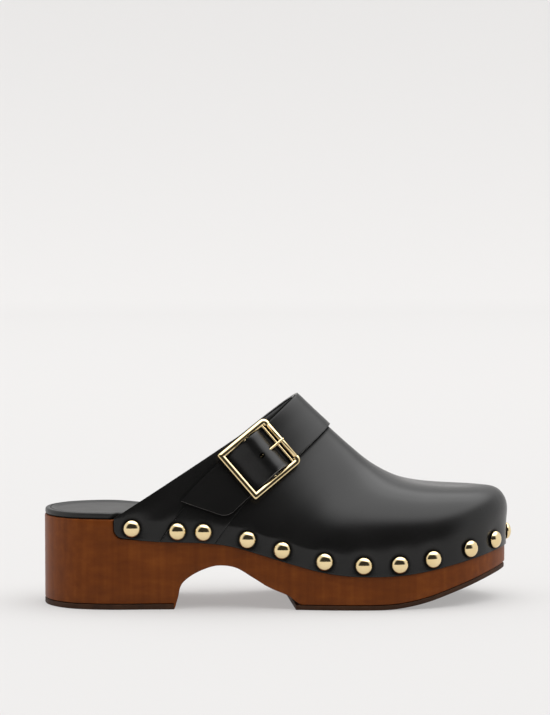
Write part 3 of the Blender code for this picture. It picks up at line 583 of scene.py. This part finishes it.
# ---------------- wood, treads and footbed
def stations(count=260):
    """Fractions of the sole's sides to put sections at, denser at the heel's front and the leather's ends."""
    outer, _ = sole_sides()
    length = length_along(outer)
    wanted = [np.linspace(0, 1, count)]
    for start, reach in ((HEEL_FRONT, 9 * MM), (UPPER_REAR_OUTER, 8 * MM), (UPPER_REAR_INNER, 8 * MM)):
        places = np.linspace(start - MM, start + reach, 40)
        wanted.append(np.interp(places, outer[:, 0], length / length[-1]))
    return np.unique(np.concatenate(wanted))


def sole_sections(inset_and_height, share, across=9):
    """Closed cross-sections of a solid with the sole's outline. inset_and_height(x, rear) lists (inset, z)
    up one side from the underside to the top, where rear is the leather's rear end on that side; the two
    sides join across the underside and the top."""
    sides = sole_sides()
    rows = []
    for is_inner, rear in ((False, UPPER_REAR_OUTER), (True, UPPER_REAR_INNER)):
        base = sides[is_inner]
        line = at_fraction(base, share)
        normal = side_normals(base, share, is_inner)
        side = []
        for inset, z in inset_and_height(line[:, 0], rear):
            xy = line - normal * np.reshape(inset, (-1, 1))
            side.append(np.column_stack([xy, z * np.ones(len(share))]))
        rows.append(np.stack(side, axis=1))
    outer, inner = rows
    blend = np.linspace(0, 1, across)[1:-1][None, :, None]
    top = outer[:, -1:] * (1 - blend) + inner[:, -1:] * blend
    under = inner[:, :1] * (1 - blend) + outer[:, :1] * blend
    return np.concatenate([outer, top, inner[:, ::-1], under], axis=1)


def side_normals(curve, share, inner):
    """Outward directions at fractions of a side, along the clog at its two ends."""
    normal = outward_normals(curve, inner)
    length = length_along(curve)
    wanted = share * length[-1]
    found = np.stack([np.interp(wanted, length, normal[:, k]) for k in (0, 1)], axis=-1)
    found[0] = (-1, 0) if share[0] == 0 else found[0]
    found[-1] = (1, 0) if share[-1] == 1 else found[-1]
    return found


def underside(x):
    """Height of the wood's underside: flat heel, arch, ball and toe rocker."""
    x = np.asarray(x, float)
    line = ARCH_REAR + ARCH_FRONT + [(20, 0), (40, 0)] + TOE_ROCKER[1:]
    low = height_at([(-140, 0), (-100, 0), (-62, 0)] + line, x)
    tread = np.where(x < HEEL_FRONT, HEEL_TREAD, FOREFOOT_TREAD) + GAP
    before_heel = np.maximum(low, 0) + tread * smoothstep(-12 * MM, 6 * MM, x)
    return np.where(x < HEEL_FRONT, tread, before_heel)


def rebated(x, rear, rise):
    """1 where the wood is cut back for the leather at a height above its edge, with its round corner."""
    corner = REAR_CORNER + GAP
    start = rear - GAP + corner - math.sqrt(corner**2 - max(corner - rise, 0) ** 2)
    return smoothstep(start - 0.2 * MM, start + 0.2 * MM, x)


def rounded_bottom(inset, height, radius, steps=4):
    """(inset, height) pairs round a lower edge."""
    return [(inset + radius * (1 - math.sin(a)), height + radius * (1 - math.cos(a)))
            for a in np.linspace(0, math.pi / 2, steps)]


def rounded_top(inset, height, radius, steps=4):
    """(inset, height) pairs round an upper edge."""
    return [(inset + radius * (1 - math.cos(a)), height - radius * (1 - math.sin(a)))
            for a in np.linspace(0, math.pi / 2, steps)]


def wood_levels(x, rear):
    """(inset, height) pairs up the side of the wood, with rounded corners and the leather's rebate."""
    low = underside(x)
    ledge = leather_edge(x)
    top = wood_top(x)
    levels = rounded_bottom(0, low, WOOD_CORNER)
    levels += [(0 * x, low + (ledge - low) * share) for share in (0.3, 0.6, 0.9, 1.0)]
    for rise in np.array([0.003, 0.08, 0.2, 0.35, 0.5, 0.65, 0.8, 1.0]) * (REAR_CORNER + GAP):
        levels.append((REBATE_DEPTH * rebated(x, rear, rise), ledge + rise))
    inset = REBATE_DEPTH * rebated(x, rear, REAR_CORNER + GAP)
    return levels + rounded_top(inset, top, WOOD_CORNER)


def make_wood(look):
    mesh = grid_mesh("sole_wood", sole_sections(wood_levels, stations()), close_across=True)
    add_piece("sole_wood", mesh, look, stands_for=("wooden_sole",))
    mesh.set_sharp_from_angle(angle=math.radians(50))


def band_levels(low, high, corner):
    """Levels for a flat layer between two heights given as functions of x."""
    def levels(x, _rear):
        return rounded_bottom(0, low(x), corner) + rounded_top(0, high(x), corner)

    return levels


def make_tread(name, node, share_range, low, high, look):
    share = stations()
    outer, _ = sole_sides()
    length = length_along(outer)
    first, last = np.interp(share_range, outer[:, 0], length / length[-1])
    share = np.unique(np.concatenate([[first], share[(share > first) & (share < last)], [last]]))
    mesh = grid_mesh(name, sole_sections(band_levels(low, high, TREAD_CORNER), share), close_across=True)
    weld(mesh, cap=True)
    mesh.shade_smooth()
    mesh.set_sharp_from_angle(angle=math.radians(50))
    add_piece(name, mesh, look, stands_for=(node,))


def rocker(x):
    """Height of the forefoot tread's underside: flat at the ball, rising to the toe."""
    return np.maximum(height_at([(-140, 0), (0, 0), (30, 0)] + TOE_ROCKER, x), 0)


def make_treads(look):
    make_tread("heel_rubber", "heel_tread", HEEL_TREAD_SPAN, lambda x: 0 * x,
               lambda x: HEEL_TREAD + 0 * x, look)
    make_tread("forefoot_rubber", "forefoot_tread", FOREFOOT_TREAD_SPAN, rocker,
               lambda x: rocker(x) + FOREFOOT_TREAD, look)


def footbed_levels(x, rear):
    """Up the side of the footbed, over its padded rim and down into its shallow tread."""
    beside_upper = smoothstep(rear - 4 * MM, rear, x)
    under_upper = smoothstep(rear - MM, rear + 3 * MM, x)
    edge = GAP + FOOTBED_BESIDE_UPPER * beside_upper + FOOTBED_UNDER_UPPER * under_upper
    base = wood_top(x) + GAP
    top = wood_top(x) + FOOTBED
    levels = [(edge + 0.9 * MM, base), (edge + 0.25 * MM, base + 0.3 * MM), (edge, base + 0.9 * MM)]
    levels += rounded_top(edge, top, FOOTBED_ROLL, steps=7)
    levels += [(edge + seam, top - dip) for seam, dip in FOOTBED_SEAM]
    for share in np.linspace(0.5, 1, 6):
        sink = FOOTBED_HOLLOW * float(smoothstep(0.3, 1.0, share))
        levels.append((edge + FOOTBED_ROLL + (FOOTBED_RIM - FOOTBED_ROLL) * share, top - sink))
    return levels


def make_footbed(look):
    mesh = grid_mesh("footbed_leather", sole_sections(footbed_levels, stations()), close_across=True)
    made = add_piece("footbed_leather", mesh, look, stands_for=("footbed_cover",))


# ---------------- vamp
def round_rear_corners(points, u):
    """Slides the leather's rear end forward near its lower edge, so that the corner there is round."""
    fade = np.clip(1 - u / 0.06, 0, 1)[:, None]
    height = points[..., 2] - leather_edge(points[..., 0]) - GAP
    into_corner = np.clip(REAR_CORNER - height, 0, REAR_CORNER)
    points[..., 0] += (REAR_CORNER - np.sqrt(REAR_CORNER**2 - into_corner**2)) * fade
    return points


def dimples(points, normals, studs, depth=1.0 * MM, reach=5.7 * MM):
    """Presses the leather in a little round each nail."""
    pressed = points.copy()
    for place, _ in studs:
        distance = np.linalg.norm(points - np.asarray(place), axis=-1)
        pressed -= normals * (depth * np.exp(-((distance / reach) ** 2)))[..., None]
    return pressed


def make_vamp(look, studs):
    u = np.concatenate([np.linspace(0, 0.9, 150), np.linspace(0.9, 1, 40)[1:]])
    v = np.concatenate([np.linspace(-1, 0, 14)[:-1], np.linspace(0, 2, 110), np.linspace(2, 3, 14)[1:]])
    points, normals = upper_grid(u, v)
    points = dimples(round_rear_corners(points, u), normals, studs)
    made = add_piece("vamp_leather", grid_mesh("vamp_leather", points), look,
                     stands_for=("vamp",))
    solidify(made, LEATHER, outward=False)
    round_edges(made, 0.45 * MM)


def make_lining(look):
    rows = []
    for value in np.linspace(0.004, 0.985, 90):
        points, normals = upper_grid([value], np.linspace(0.015, 1.985, 70))
        depth = LEATHER + GAP + LINING_DROP_AT_TOE * smoothstep(0.5, 0.66, value)
        rows.append(points[0] - normals[0] * depth)
    made = add_piece("lining_leather", grid_mesh("lining_leather", rows), look,
                     stands_for=("vamp_lining",))
    solidify(made, LINING, outward=False)
    round_edges(made, 0.25 * MM, 2)


# ---------------- strap and chape
def strap_centre_line():
    outer = [surface_frame(x, z)[0] for x, z in STRAP_OUTER_SIDE]
    station = (STRAP_TOP[0] * MM - TOPLINE_X) / (RIDGE_END_X - TOPLINE_X)
    top = upper_grid([station], [1.0])[0][0, 0]
    inner = [surface_frame(x, z, True)[0] for x, z in STRAP_INNER_SIDE]
    return smooth_through(np.array(outer + [top] + inner), per_span=16)


def tab_end(share):
    """How far from the strap's lowest point its free end is cut, at a share of its width."""
    into_corner = np.clip(TAB_CORNER - (share + 0.5) * STRAP_WIDTH, 0, TAB_CORNER)
    rounding = TAB_CORNER - math.sqrt(TAB_CORNER**2 - into_corner**2)
    return TAB_SLANT * (0.5 - share) + rounding


def square_end(_share):
    """An end cut straight across."""
    return 0.0


def band_rows(line, lift, end=square_end, across=25):
    """Grid of points for a strap that lies along a line on the vamp, lifted off its surface."""
    sides = [np.cross(nearest_on_upper(centre)[1], forward)
             for centre, forward in zip(line, np.gradient(line, axis=0))]
    length = length_along(line)
    table = np.column_stack([line, sides])
    rows = []
    for station in np.linspace(0, 1, len(line)):
        row = []
        for share in np.linspace(-0.5, 0.5, across):
            along = end(share) + (length[-1] - end(share)) * station
            found = np.array([np.interp(along, length, column) for column in table.T])
            sideways = found[3:] / np.linalg.norm(found[3:])
            base, up = nearest_on_upper(found[:3] + sideways * share * STRAP_WIDTH)
            row.append(base + up * lift(base))
        rows.append(row)
    return smoothed(np.array(rows))


def smoothed(rows, times=3):
    """Evens out a grid of points without moving its border."""
    for _ in range(times):
        inside = rows[1:-1, 1:-1]
        around = (rows[:-2, 1:-1] + rows[2:, 1:-1] + rows[1:-1, :-2] + rows[1:-1, 2:]) / 4
        rows[1:-1, 1:-1] = 0.5 * inside + 0.5 * around
        for side in (0, -1):
            rows[1:-1, side] = 0.5 * rows[1:-1, side] + 0.25 * (rows[:-2, side] + rows[2:, side])
    return rows


class BuckleAxes:
    """Axes of the buckle: forward along the strap to the instep, along the bar, and up off the vamp."""

    def __init__(self):
        self.origin, self.up = surface_frame(*BUCKLE_PLACE)
        ahead, _ = surface_frame(*STRAP_OUTER_SIDE[4])
        behind, _ = surface_frame(*STRAP_OUTER_SIDE[2])
        forward = (ahead - behind) / np.linalg.norm(ahead - behind)
        self.forward = forward - self.up * float(forward @ self.up)
        self.forward /= np.linalg.norm(self.forward)
        self.bar = np.cross(self.up, self.forward)

    def place(self, forward, bar, up):
        return self.origin + self.forward * forward + self.bar * bar + self.up * up

    def matrix(self, forward=0.0, up=0.0, slope=0.0):
        """World matrix with X forward, Y along the bar and Z up, tipped by slope about the bar."""
        turn = Matrix((self.forward, self.bar, self.up)).transposed().to_4x4()
        turn.translation = Vector(self.place(forward, 0, up))
        return turn @ Matrix.Rotation(slope, 4, "Y")


AXES = BuckleAxes()
LIFT_CURVE = smooth_through(STRAP_LIFT, per_span=8) * MM


def strap_lift(place):
    """How far the strap stands off the vamp, most where it passes over the centre bar."""
    if place[1] > RIDGE_Y:
        return INNER_STRAP_LIFT
    forward = float((np.asarray(place) - AXES.origin) @ AXES.forward)
    return float(np.interp(forward, LIFT_CURVE[:, 0], LIFT_CURVE[:, 1]))


def below_edge():
    """Everything lower than the ledge that the leather stands on, as a block to cut with."""
    x = np.linspace(-0.15, 0.15, 120)
    rows = []
    for y in (-0.08, 0.08):
        line = [(a, y, float(leather_edge(a)) + GAP) for a in x]
        rows.append(line + [(0.15, y, -0.05), (-0.15, y, -0.05)])
    mesh = grid_mesh("below_edge", np.array(rows), close_across=True)
    weld(mesh, cap=True)
    return tool("below_edge", mesh)


def tool(name, mesh):
    """A hidden cutter, removed once its cut is made."""
    made = bpy.data.objects.new(name, mesh)
    bpy.context.scene.collection.objects.link(made)
    made.hide_render = True
    made.display_type = "WIRE"
    return made


def block(name, size, place):
    """A box to cut with."""
    mesh = bpy.data.meshes.new(name)
    work = bmesh.new()
    bmesh.ops.create_cube(work, size=1)
    bmesh.ops.transform(work, matrix=place @ Matrix.Diagonal((*size, 1)), verts=work.verts)
    work.to_mesh(mesh)
    work.free()
    return tool(name, mesh)


def rod(name, radius, length, place):
    """A round bar to cut with."""
    mesh = bpy.data.meshes.new(name)
    work = bmesh.new()
    bmesh.ops.create_cone(work, cap_ends=True, segments=32, radius1=radius, radius2=radius, depth=length)
    bmesh.ops.transform(work, matrix=place, verts=work.verts)
    work.to_mesh(mesh)
    work.free()
    return tool(name, mesh)


def prong_height(forward):
    """Height of the prong's middle line, from over the centre bar to over the roller."""
    ring = CENTRE_BAR_RADIUS + GAP + PRONG_RADIUS
    start = CENTRE_BAR_LIFT + ring
    end = frame_height(AXLE[0]) + ROLLER_OUTER + GAP + PRONG_RADIUS
    return start + (end - start) * forward / AXLE[0]


def frame_height(forward):
    """Height of the buckle frame's middle plane, which slopes down towards the roller."""
    return CENTRE_BAR_LIFT - FRAME_SLOPE * forward


def remove_tools(*tools):
    for each in tools:
        bpy.data.objects.remove(each, do_unlink=True)


def make_strap(look, edge_look):
    rows = band_rows(strap_centre_line(), strap_lift, tab_end)
    made = add_piece("strap_leather", grid_mesh("strap_leather", rows), look,
                     stands_for=("instep_strap",))
    solidify(made, STRAP, edge_look=edge_look)
    lower = below_edge()
    along = (AXES.matrix(PRONG_HOLE_FORWARD, prong_height(PRONG_HOLE_FORWARD))
             @ Matrix.Rotation(math.pi / 2, 4, "Y"))
    prong_hole = rod("prong_hole", HOLE_RADIUS, PRONG_HOLE_LENGTH, along)
    empty_hole = rod("empty_hole", EMPTY_HOLE_RADIUS, EMPTY_HOLE_LENGTH, AXES.matrix(*EMPTY_HOLE_PLACE))
    for cutter in (lower, prong_hole, empty_hole):
        cut(made, cutter)
    round_edges(made, 0.35 * MM)
    apply_all(made, 60)
    remove_tools(lower, prong_hole, empty_hole)


def make_chape(look, edge_look):
    places = np.array([surface_frame(x, z)[0] for x, z in CHAPE_ROUTE])
    flat = smooth_through(places, per_span=16)[:-3]
    rows = list(band_rows(flat, lambda place: GAP))
    fold = CENTRE_BAR_RADIUS + GAP + CHAPE
    path = [(fold * math.sin(a), CENTRE_BAR_LIFT - fold * math.cos(a))
            for a in np.linspace(0.15, math.pi, 24)]
    flap = smooth_through([(0, CENTRE_BAR_LIFT / MM + fold / MM)] + CHAPE_FLAP)[1:] * MM
    path += [tuple(p) for p in flap]
    across = np.linspace(0.5, -0.5, 25) * STRAP_WIDTH
    side = np.sign(float((rows[-1][0] - AXES.origin) @ AXES.bar))
    for forward, up in path:
        rows.append([AXES.place(forward, b * side, up) for b in across])
    made = add_piece("chape_leather", grid_mesh("chape_leather", np.array(rows)), look,
                     stands_for=("buckle_chape",))
    solidify(made, CHAPE, edge_look=edge_look)
    lower = below_edge()
    slot = block("prong_slot", PRONG_SLOT, AXES.matrix(0.0, CENTRE_BAR_LIFT - 0.2 * MM))
    cut(made, lower)
    cut(made, slot)
    round_edges(made, 0.25 * MM, 2)
    apply_all(made, 60)
    remove_tools(lower, slot)


# ---------------- buckle
def make_buckle(look):
    axes = AXES.matrix(0, CENTRE_BAR_LIFT, math.atan(FRAME_SLOPE))
    make_frame(look, axes)
    make_roller(look, axes)
    make_prong(look)


def frame_edges():
    """Pairs of (inner, outer) plan points round the frame, from one front lug back round to the other."""
    length, width, bar = BUCKLE_HALF_LENGTH, BUCKLE_HALF_WIDTH, BUCKLE_BAR
    inside_front, inside_rear = (length - bar, width - bar), (bar - length, width - bar)
    pairs = [((length - bar, ROLLER_HALF + GAP), (length, ROLLER_HALF + GAP))]
    corners = ((inside_front, 0, BUCKLE_CORNER), (inside_rear, math.pi / 2, REAR_ROUNDING))
    for inside, start, radius in corners:
        centre_x = math.copysign(length - radius, inside[0])
        for angle in np.linspace(start, start + math.pi / 2, 10):
            outer = (centre_x + radius * math.cos(angle), width - radius + radius * math.sin(angle))
            pairs.append((inside, outer))
    mirrored = [((a, -b), (c, -d)) for (a, b), (c, d) in pairs[::-1]]
    return np.array(pairs + mirrored)


def make_frame(look, axes):
    """The frame as a half-round bar swept round its plan, with its three thin cross bars."""
    rows = []
    for inner, outer in frame_edges():
        row = []
        for angle in np.linspace(0, 2 * math.pi, 28, endpoint=False):
            across = math.copysign(abs(math.cos(angle)) ** BAR_FULLNESS, math.cos(angle))
            up = math.copysign(abs(math.sin(angle)) ** BAR_FULLNESS, math.sin(angle))
            plan = (inner + outer) / 2 + (outer - inner) / 2 * across
            row.append((*plan, up * BUCKLE_THICKNESS / 2))
        rows.append(row)
    mesh = grid_mesh("buckle_ring", np.array(rows), close_across=True)
    weld(mesh, cap=True)
    work = bmesh.new()
    work.from_mesh(mesh)
    for forward, radius in ((0.0, CENTRE_BAR_RADIUS), GUIDE_BAR, AXLE):
        place = Matrix.Translation((forward, 0, 0)) @ Matrix.Rotation(math.pi / 2, 4, "X")
        made = bmesh.ops.create_cone(work, cap_ends=True, segments=32, radius1=radius, radius2=radius,
                                     depth=2 * BUCKLE_HALF_WIDTH - BUCKLE_BAR)
        bmesh.ops.transform(work, matrix=place, verts=made["verts"])
    work.to_mesh(mesh)
    work.free()
    mesh.transform(axes)
    mesh.shade_smooth()
    mesh.set_sharp_from_angle(angle=math.radians(40))
    add_piece("buckle_ring", mesh, look, "buckle", ("buckle_frame",))


def turned_mesh(name, section, steps):
    """A section of (radius, height) points turned about Z."""
    angles = np.linspace(0, 2 * math.pi, steps, endpoint=False)
    rows = [[(r * math.cos(a), r * math.sin(a), z) for a in angles] for r, z in section]
    return grid_mesh(name, np.array(rows), close_across=True)


def make_roller(look, axes):
    soft = 0.18 * MM
    section = [(ROLLER_INNER, ROLLER_HALF), (ROLLER_OUTER - soft, ROLLER_HALF),
               (ROLLER_OUTER, ROLLER_HALF - soft), (ROLLER_OUTER, -ROLLER_HALF + soft),
               (ROLLER_OUTER - soft, -ROLLER_HALF), (ROLLER_INNER, -ROLLER_HALF), (ROLLER_INNER, ROLLER_HALF)]
    mesh = turned_mesh("roller_tube", section, 48)
    mesh.transform(axes @ Matrix.Translation((AXLE[0], 0, 0)) @ Matrix.Rotation(math.pi / 2, 4, "X"))
    mesh.set_sharp_from_angle(angle=math.radians(50))
    add_piece("roller_tube", mesh, look, "roller", ("buckle_roller",))


def make_prong(look):
    """A wire looped round the centre bar and laid over the roller, with a rounded tip."""
    ring = CENTRE_BAR_RADIUS + GAP + PRONG_RADIUS
    path = [(ring * math.cos(a), ring * math.sin(a))
            for a in np.linspace(-0.25 * math.pi, -1.5 * math.pi, 30)]
    path += [(x * MM, prong_height(x * MM) - CENTRE_BAR_LIFT) for x in (4, 8, 12, 15, 16.2)]
    path = np.array(path)
    angles = np.linspace(0, 2 * math.pi, 24, endpoint=False)
    tangent = np.gradient(path, axis=0)
    tangent /= np.linalg.norm(tangent, axis=1)[:, None]
    rows = []
    across = np.array([0, 1, 0])
    for (x, z), (tx, tz) in zip(path, tangent):
        side = np.array([-tz, 0, tx])
        middle = np.array([x, 0, z])
        rows.append([middle + PRONG_RADIUS * (side * math.cos(a) + across * math.sin(a)) for a in angles])
    end = rows[-1]
    heading = np.array([tangent[-1, 0], 0, tangent[-1, 1]])
    centre = np.array([path[-1, 0], 0, path[-1, 1]])
    for a in np.linspace(0, math.pi / 2, 8)[1:]:
        ahead = heading * PRONG_RADIUS * 1.6 * math.sin(a)
        rows.append([centre + (p - centre) * math.cos(a) + ahead for p in end])
    mesh = grid_mesh("prong_wire", np.array(rows), close_across=True)
    weld(mesh, cap=True)
    mesh.shade_smooth()
    mesh.transform(AXES.matrix(0, CENTRE_BAR_LIFT))
    add_piece("prong_wire", mesh, look, "prong", ("buckle_prong",))


# ---------------- studs
def stud_line(inner):
    """The line that the studs of one side stand over, with its outward directions."""
    curve = INNER_EDGE if inner else OUTER_EDGE
    return curve, outward_normals(curve, inner)


def on_side(side, x):
    """Place and outward direction on a side nearest to x."""
    curve, outward = side
    index = int(np.argmin(np.abs(curve[:, 0] - x)))
    return curve[index], outward[index]


def before_tip(side, distance):
    """Place and outward direction on a side, a distance before the tip of the toe."""
    curve, outward = side
    length = np.cumsum(np.linalg.norm(np.diff(curve, axis=0), axis=1))
    index = int(np.argmin(np.abs(length - (length[-1] - distance))))
    return curve[index], outward[index]


def stud_places():
    """(centre on the leather, outward direction) of every stud, in the CAD's order."""
    outer = stud_line(False)
    inner = stud_line(True)
    found = [on_side(outer, x * MM) for x in OUTER_STUDS_X]
    for is_inner, distance in TOE_STUDS:
        found.append(before_tip(inner if is_inner else outer, distance * MM))
    found += [on_side(inner, x * MM) for x in INNER_STUDS_X[::-1]]
    return [(np.array([*place, float(leather_edge(place[0])) + STUD_RISE]), np.array([*outward, 0.0]))
            for place, outward in found]


def make_studs(look, studs):
    """Domed nail heads with a rolled lower edge."""
    dome = [(STUD_RADIUS * math.sin(a), STUD_HEIGHT * math.cos(a))
            for a in np.linspace(0.001, math.pi / 2, 18)]
    rolled = [(STUD_RADIUS - 0.15 * MM, -0.12 * MM), (STUD_RADIUS - 0.9 * MM, -0.12 * MM), (0.001 * MM, 0)]
    mesh = turned_mesh("stud_head", dome + rolled, 56)
    for number, (place, outward) in enumerate(studs, start=1):
        lift = GAP
        if number in CHAPE_STUDS:
            lift += CHAPE + GAP
        if number in STRAP_STUDS:
            lift += STRAP + GAP
        out = Vector(outward).normalized()
        turn = out.to_track_quat("Z", "Y").to_matrix().to_4x4()
        turn.translation = Vector(place) + out * lift
        head = mesh.copy()
        head.transform(turn)
        add_piece(f"stud_head_{number:02d}", head, look, "clog", (f"stud_{number:02d}",))


# ---------------- stage
def make_stage():
    """Pale seamless floor that curves up into a backdrop well behind the clog."""
    made, shader, tree = new_material("studio_paper")
    shader.inputs["Base Color"].default_value = PAPER
    shader.inputs["Roughness"].default_value = 1.0
    shader.inputs["Specular IOR Level"].default_value = 0.0
    shader.inputs["Emission Color"].default_value = PAPER_TINT
    place = add_node(tree, "ShaderNodeTexCoord")
    parts = add_node(tree, "ShaderNodeSeparateXYZ")
    tree.links.new(place.outputs["Object"], parts.inputs["Vector"])
    glow = add_node(tree, "ShaderNodeMapRange")
    glow.inputs["From Min"].default_value = FLOOR_BACK - BACKDROP_RADIUS / 3
    glow.inputs["From Max"].default_value = FLOOR_BACK + BACKDROP_RADIUS
    glow.inputs["To Min"].default_value = PAPER_GLOW
    glow.inputs["To Max"].default_value = PAPER_GLOW + BACKDROP_GLOW
    tree.links.new(parts.outputs["Y"], glow.inputs["Value"])
    tree.links.new(glow.outputs["Result"], shader.inputs["Emission Strength"])
    profile = [(FLOOR_FRONT, 0.0), (FLOOR_BACK, 0.0)]
    profile += [(FLOOR_BACK + BACKDROP_RADIUS * math.sin(a), BACKDROP_RADIUS * (1 - math.cos(a)))
                for a in np.linspace(0, math.pi / 2, 24)[1:]]
    profile += [(FLOOR_BACK + BACKDROP_RADIUS, BACKDROP_HEIGHT)]
    rows = np.array([[(x, y, z) for y, z in profile] for x in (-FLOOR_HALF_WIDTH, FLOOR_HALF_WIDTH)])
    mesh = grid_mesh("studio_floor", rows)
    floor = bpy.data.objects.new("studio_floor", mesh)
    bpy.context.scene.collection.objects.link(floor)
    mesh.materials.append(made)


def add_light(name, place, target, size, power):
    data = bpy.data.lights.new(name, "AREA")
    data.shape = "RECTANGLE"
    data.size, data.size_y = size
    data.energy = power
    lamp = bpy.data.objects.new(name, data)
    bpy.context.scene.collection.objects.link(lamp)
    lamp.location = place
    aim = Vector(target) - Vector(place)
    lamp.rotation_euler = aim.to_track_quat("-Z", "Y").to_euler()


def make_lights():
    """A room that is bright above, dimmer behind and beside, dark in front, and a lamp on the backdrop."""
    world = bpy.data.worlds.new("studio")
    bpy.context.scene.world = world
    world.use_nodes = True
    tree = world.node_tree
    direction = add_node(tree, "ShaderNodeTexCoord")
    parts = add_node(tree, "ShaderNodeSeparateXYZ")
    tree.links.new(direction.outputs["Generated"], parts.inputs["Vector"])
    towards = add_node(tree, "ShaderNodeVectorMath", operation="DOT_PRODUCT")
    tree.links.new(direction.outputs["Generated"], towards.inputs[0])
    towards.inputs[1].default_value = LIGHT_FROM
    above = soft_step(tree, towards.outputs["Value"], low=0.62, high=0.84)
    beside = soft_step(tree, parts.outputs["Y"], low=-0.72, high=-0.4)
    above.node.inputs["To Max"].default_value = LIGHT_ABOVE
    beside.node.inputs["To Max"].default_value = LIGHT_BESIDE
    beside.node.inputs["To Min"].default_value = LIGHT_IN_FRONT
    tree.links.new(beside, above.node.inputs["To Min"])
    tree.nodes["Background"].inputs["Color"].default_value = (1, 1, 1, 1)
    tree.links.new(above, tree.nodes["Background"].inputs["Strength"])
    add_light("backdrop_light", (0.0, 0.6, 2.6), (0, 4.5, 0.8), (4.0, 1.0), BACKDROP_LIGHT_POWER)


def make_camera():
    data = bpy.data.cameras.new("camera")
    camera = bpy.data.objects.new("camera", data)
    bpy.context.scene.collection.objects.link(camera)
    azimuth, elevation = math.radians(VIEW_AZIMUTH), math.radians(VIEW_ELEVATION)
    away = Vector((math.sin(azimuth) * math.cos(elevation), -math.cos(azimuth) * math.cos(elevation),
                   math.sin(elevation)))
    right = Vector((math.cos(azimuth), math.sin(azimuth), 0))
    up = away.cross(right)
    camera.location = VIEW_CENTRE + away * VIEW_DISTANCE
    aim = VIEW_CENTRE + up * VIEW_RAISED + right * VIEW_SHIFTED
    look = (camera.location - aim).to_track_quat("Z", "Y")
    camera.rotation_euler = look.to_euler()
    data.sensor_fit = "HORIZONTAL"
    data.sensor_width = 36.0
    data.lens = data.sensor_width * VIEW_DISTANCE / VIEW_WIDTH
    bpy.context.scene.camera = camera


def main():
    make_camera()
    make_stage()
    make_lights()
    bpy.context.scene.view_settings.view_transform = "Standard"
    black = leather_look("black_leather", *BLACK_LEATHER)
    sock = leather_look("sock_leather", *SOCK_LEATHER)
    lining = leather_look("lining_leather", *LINING_LEATHER)
    cut_edge = leather_look("cut_edge", *CUT_EDGE)
    gold = gold_look()
    studs = stud_places()
    make_wood(wood_look())
    make_treads(rubber_look())
    make_footbed(sock)
    make_vamp(black, studs)
    make_lining(lining)
    make_chape(black, cut_edge)
    make_strap(black, cut_edge)
    make_buckle(gold)
    make_studs(gold, studs)
    for node, look in (("footbed_cushion", sock), ("toe_puff", lining)):
        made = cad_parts[node]
        made.data.materials.clear()
        made.data.materials.append(look)


main()
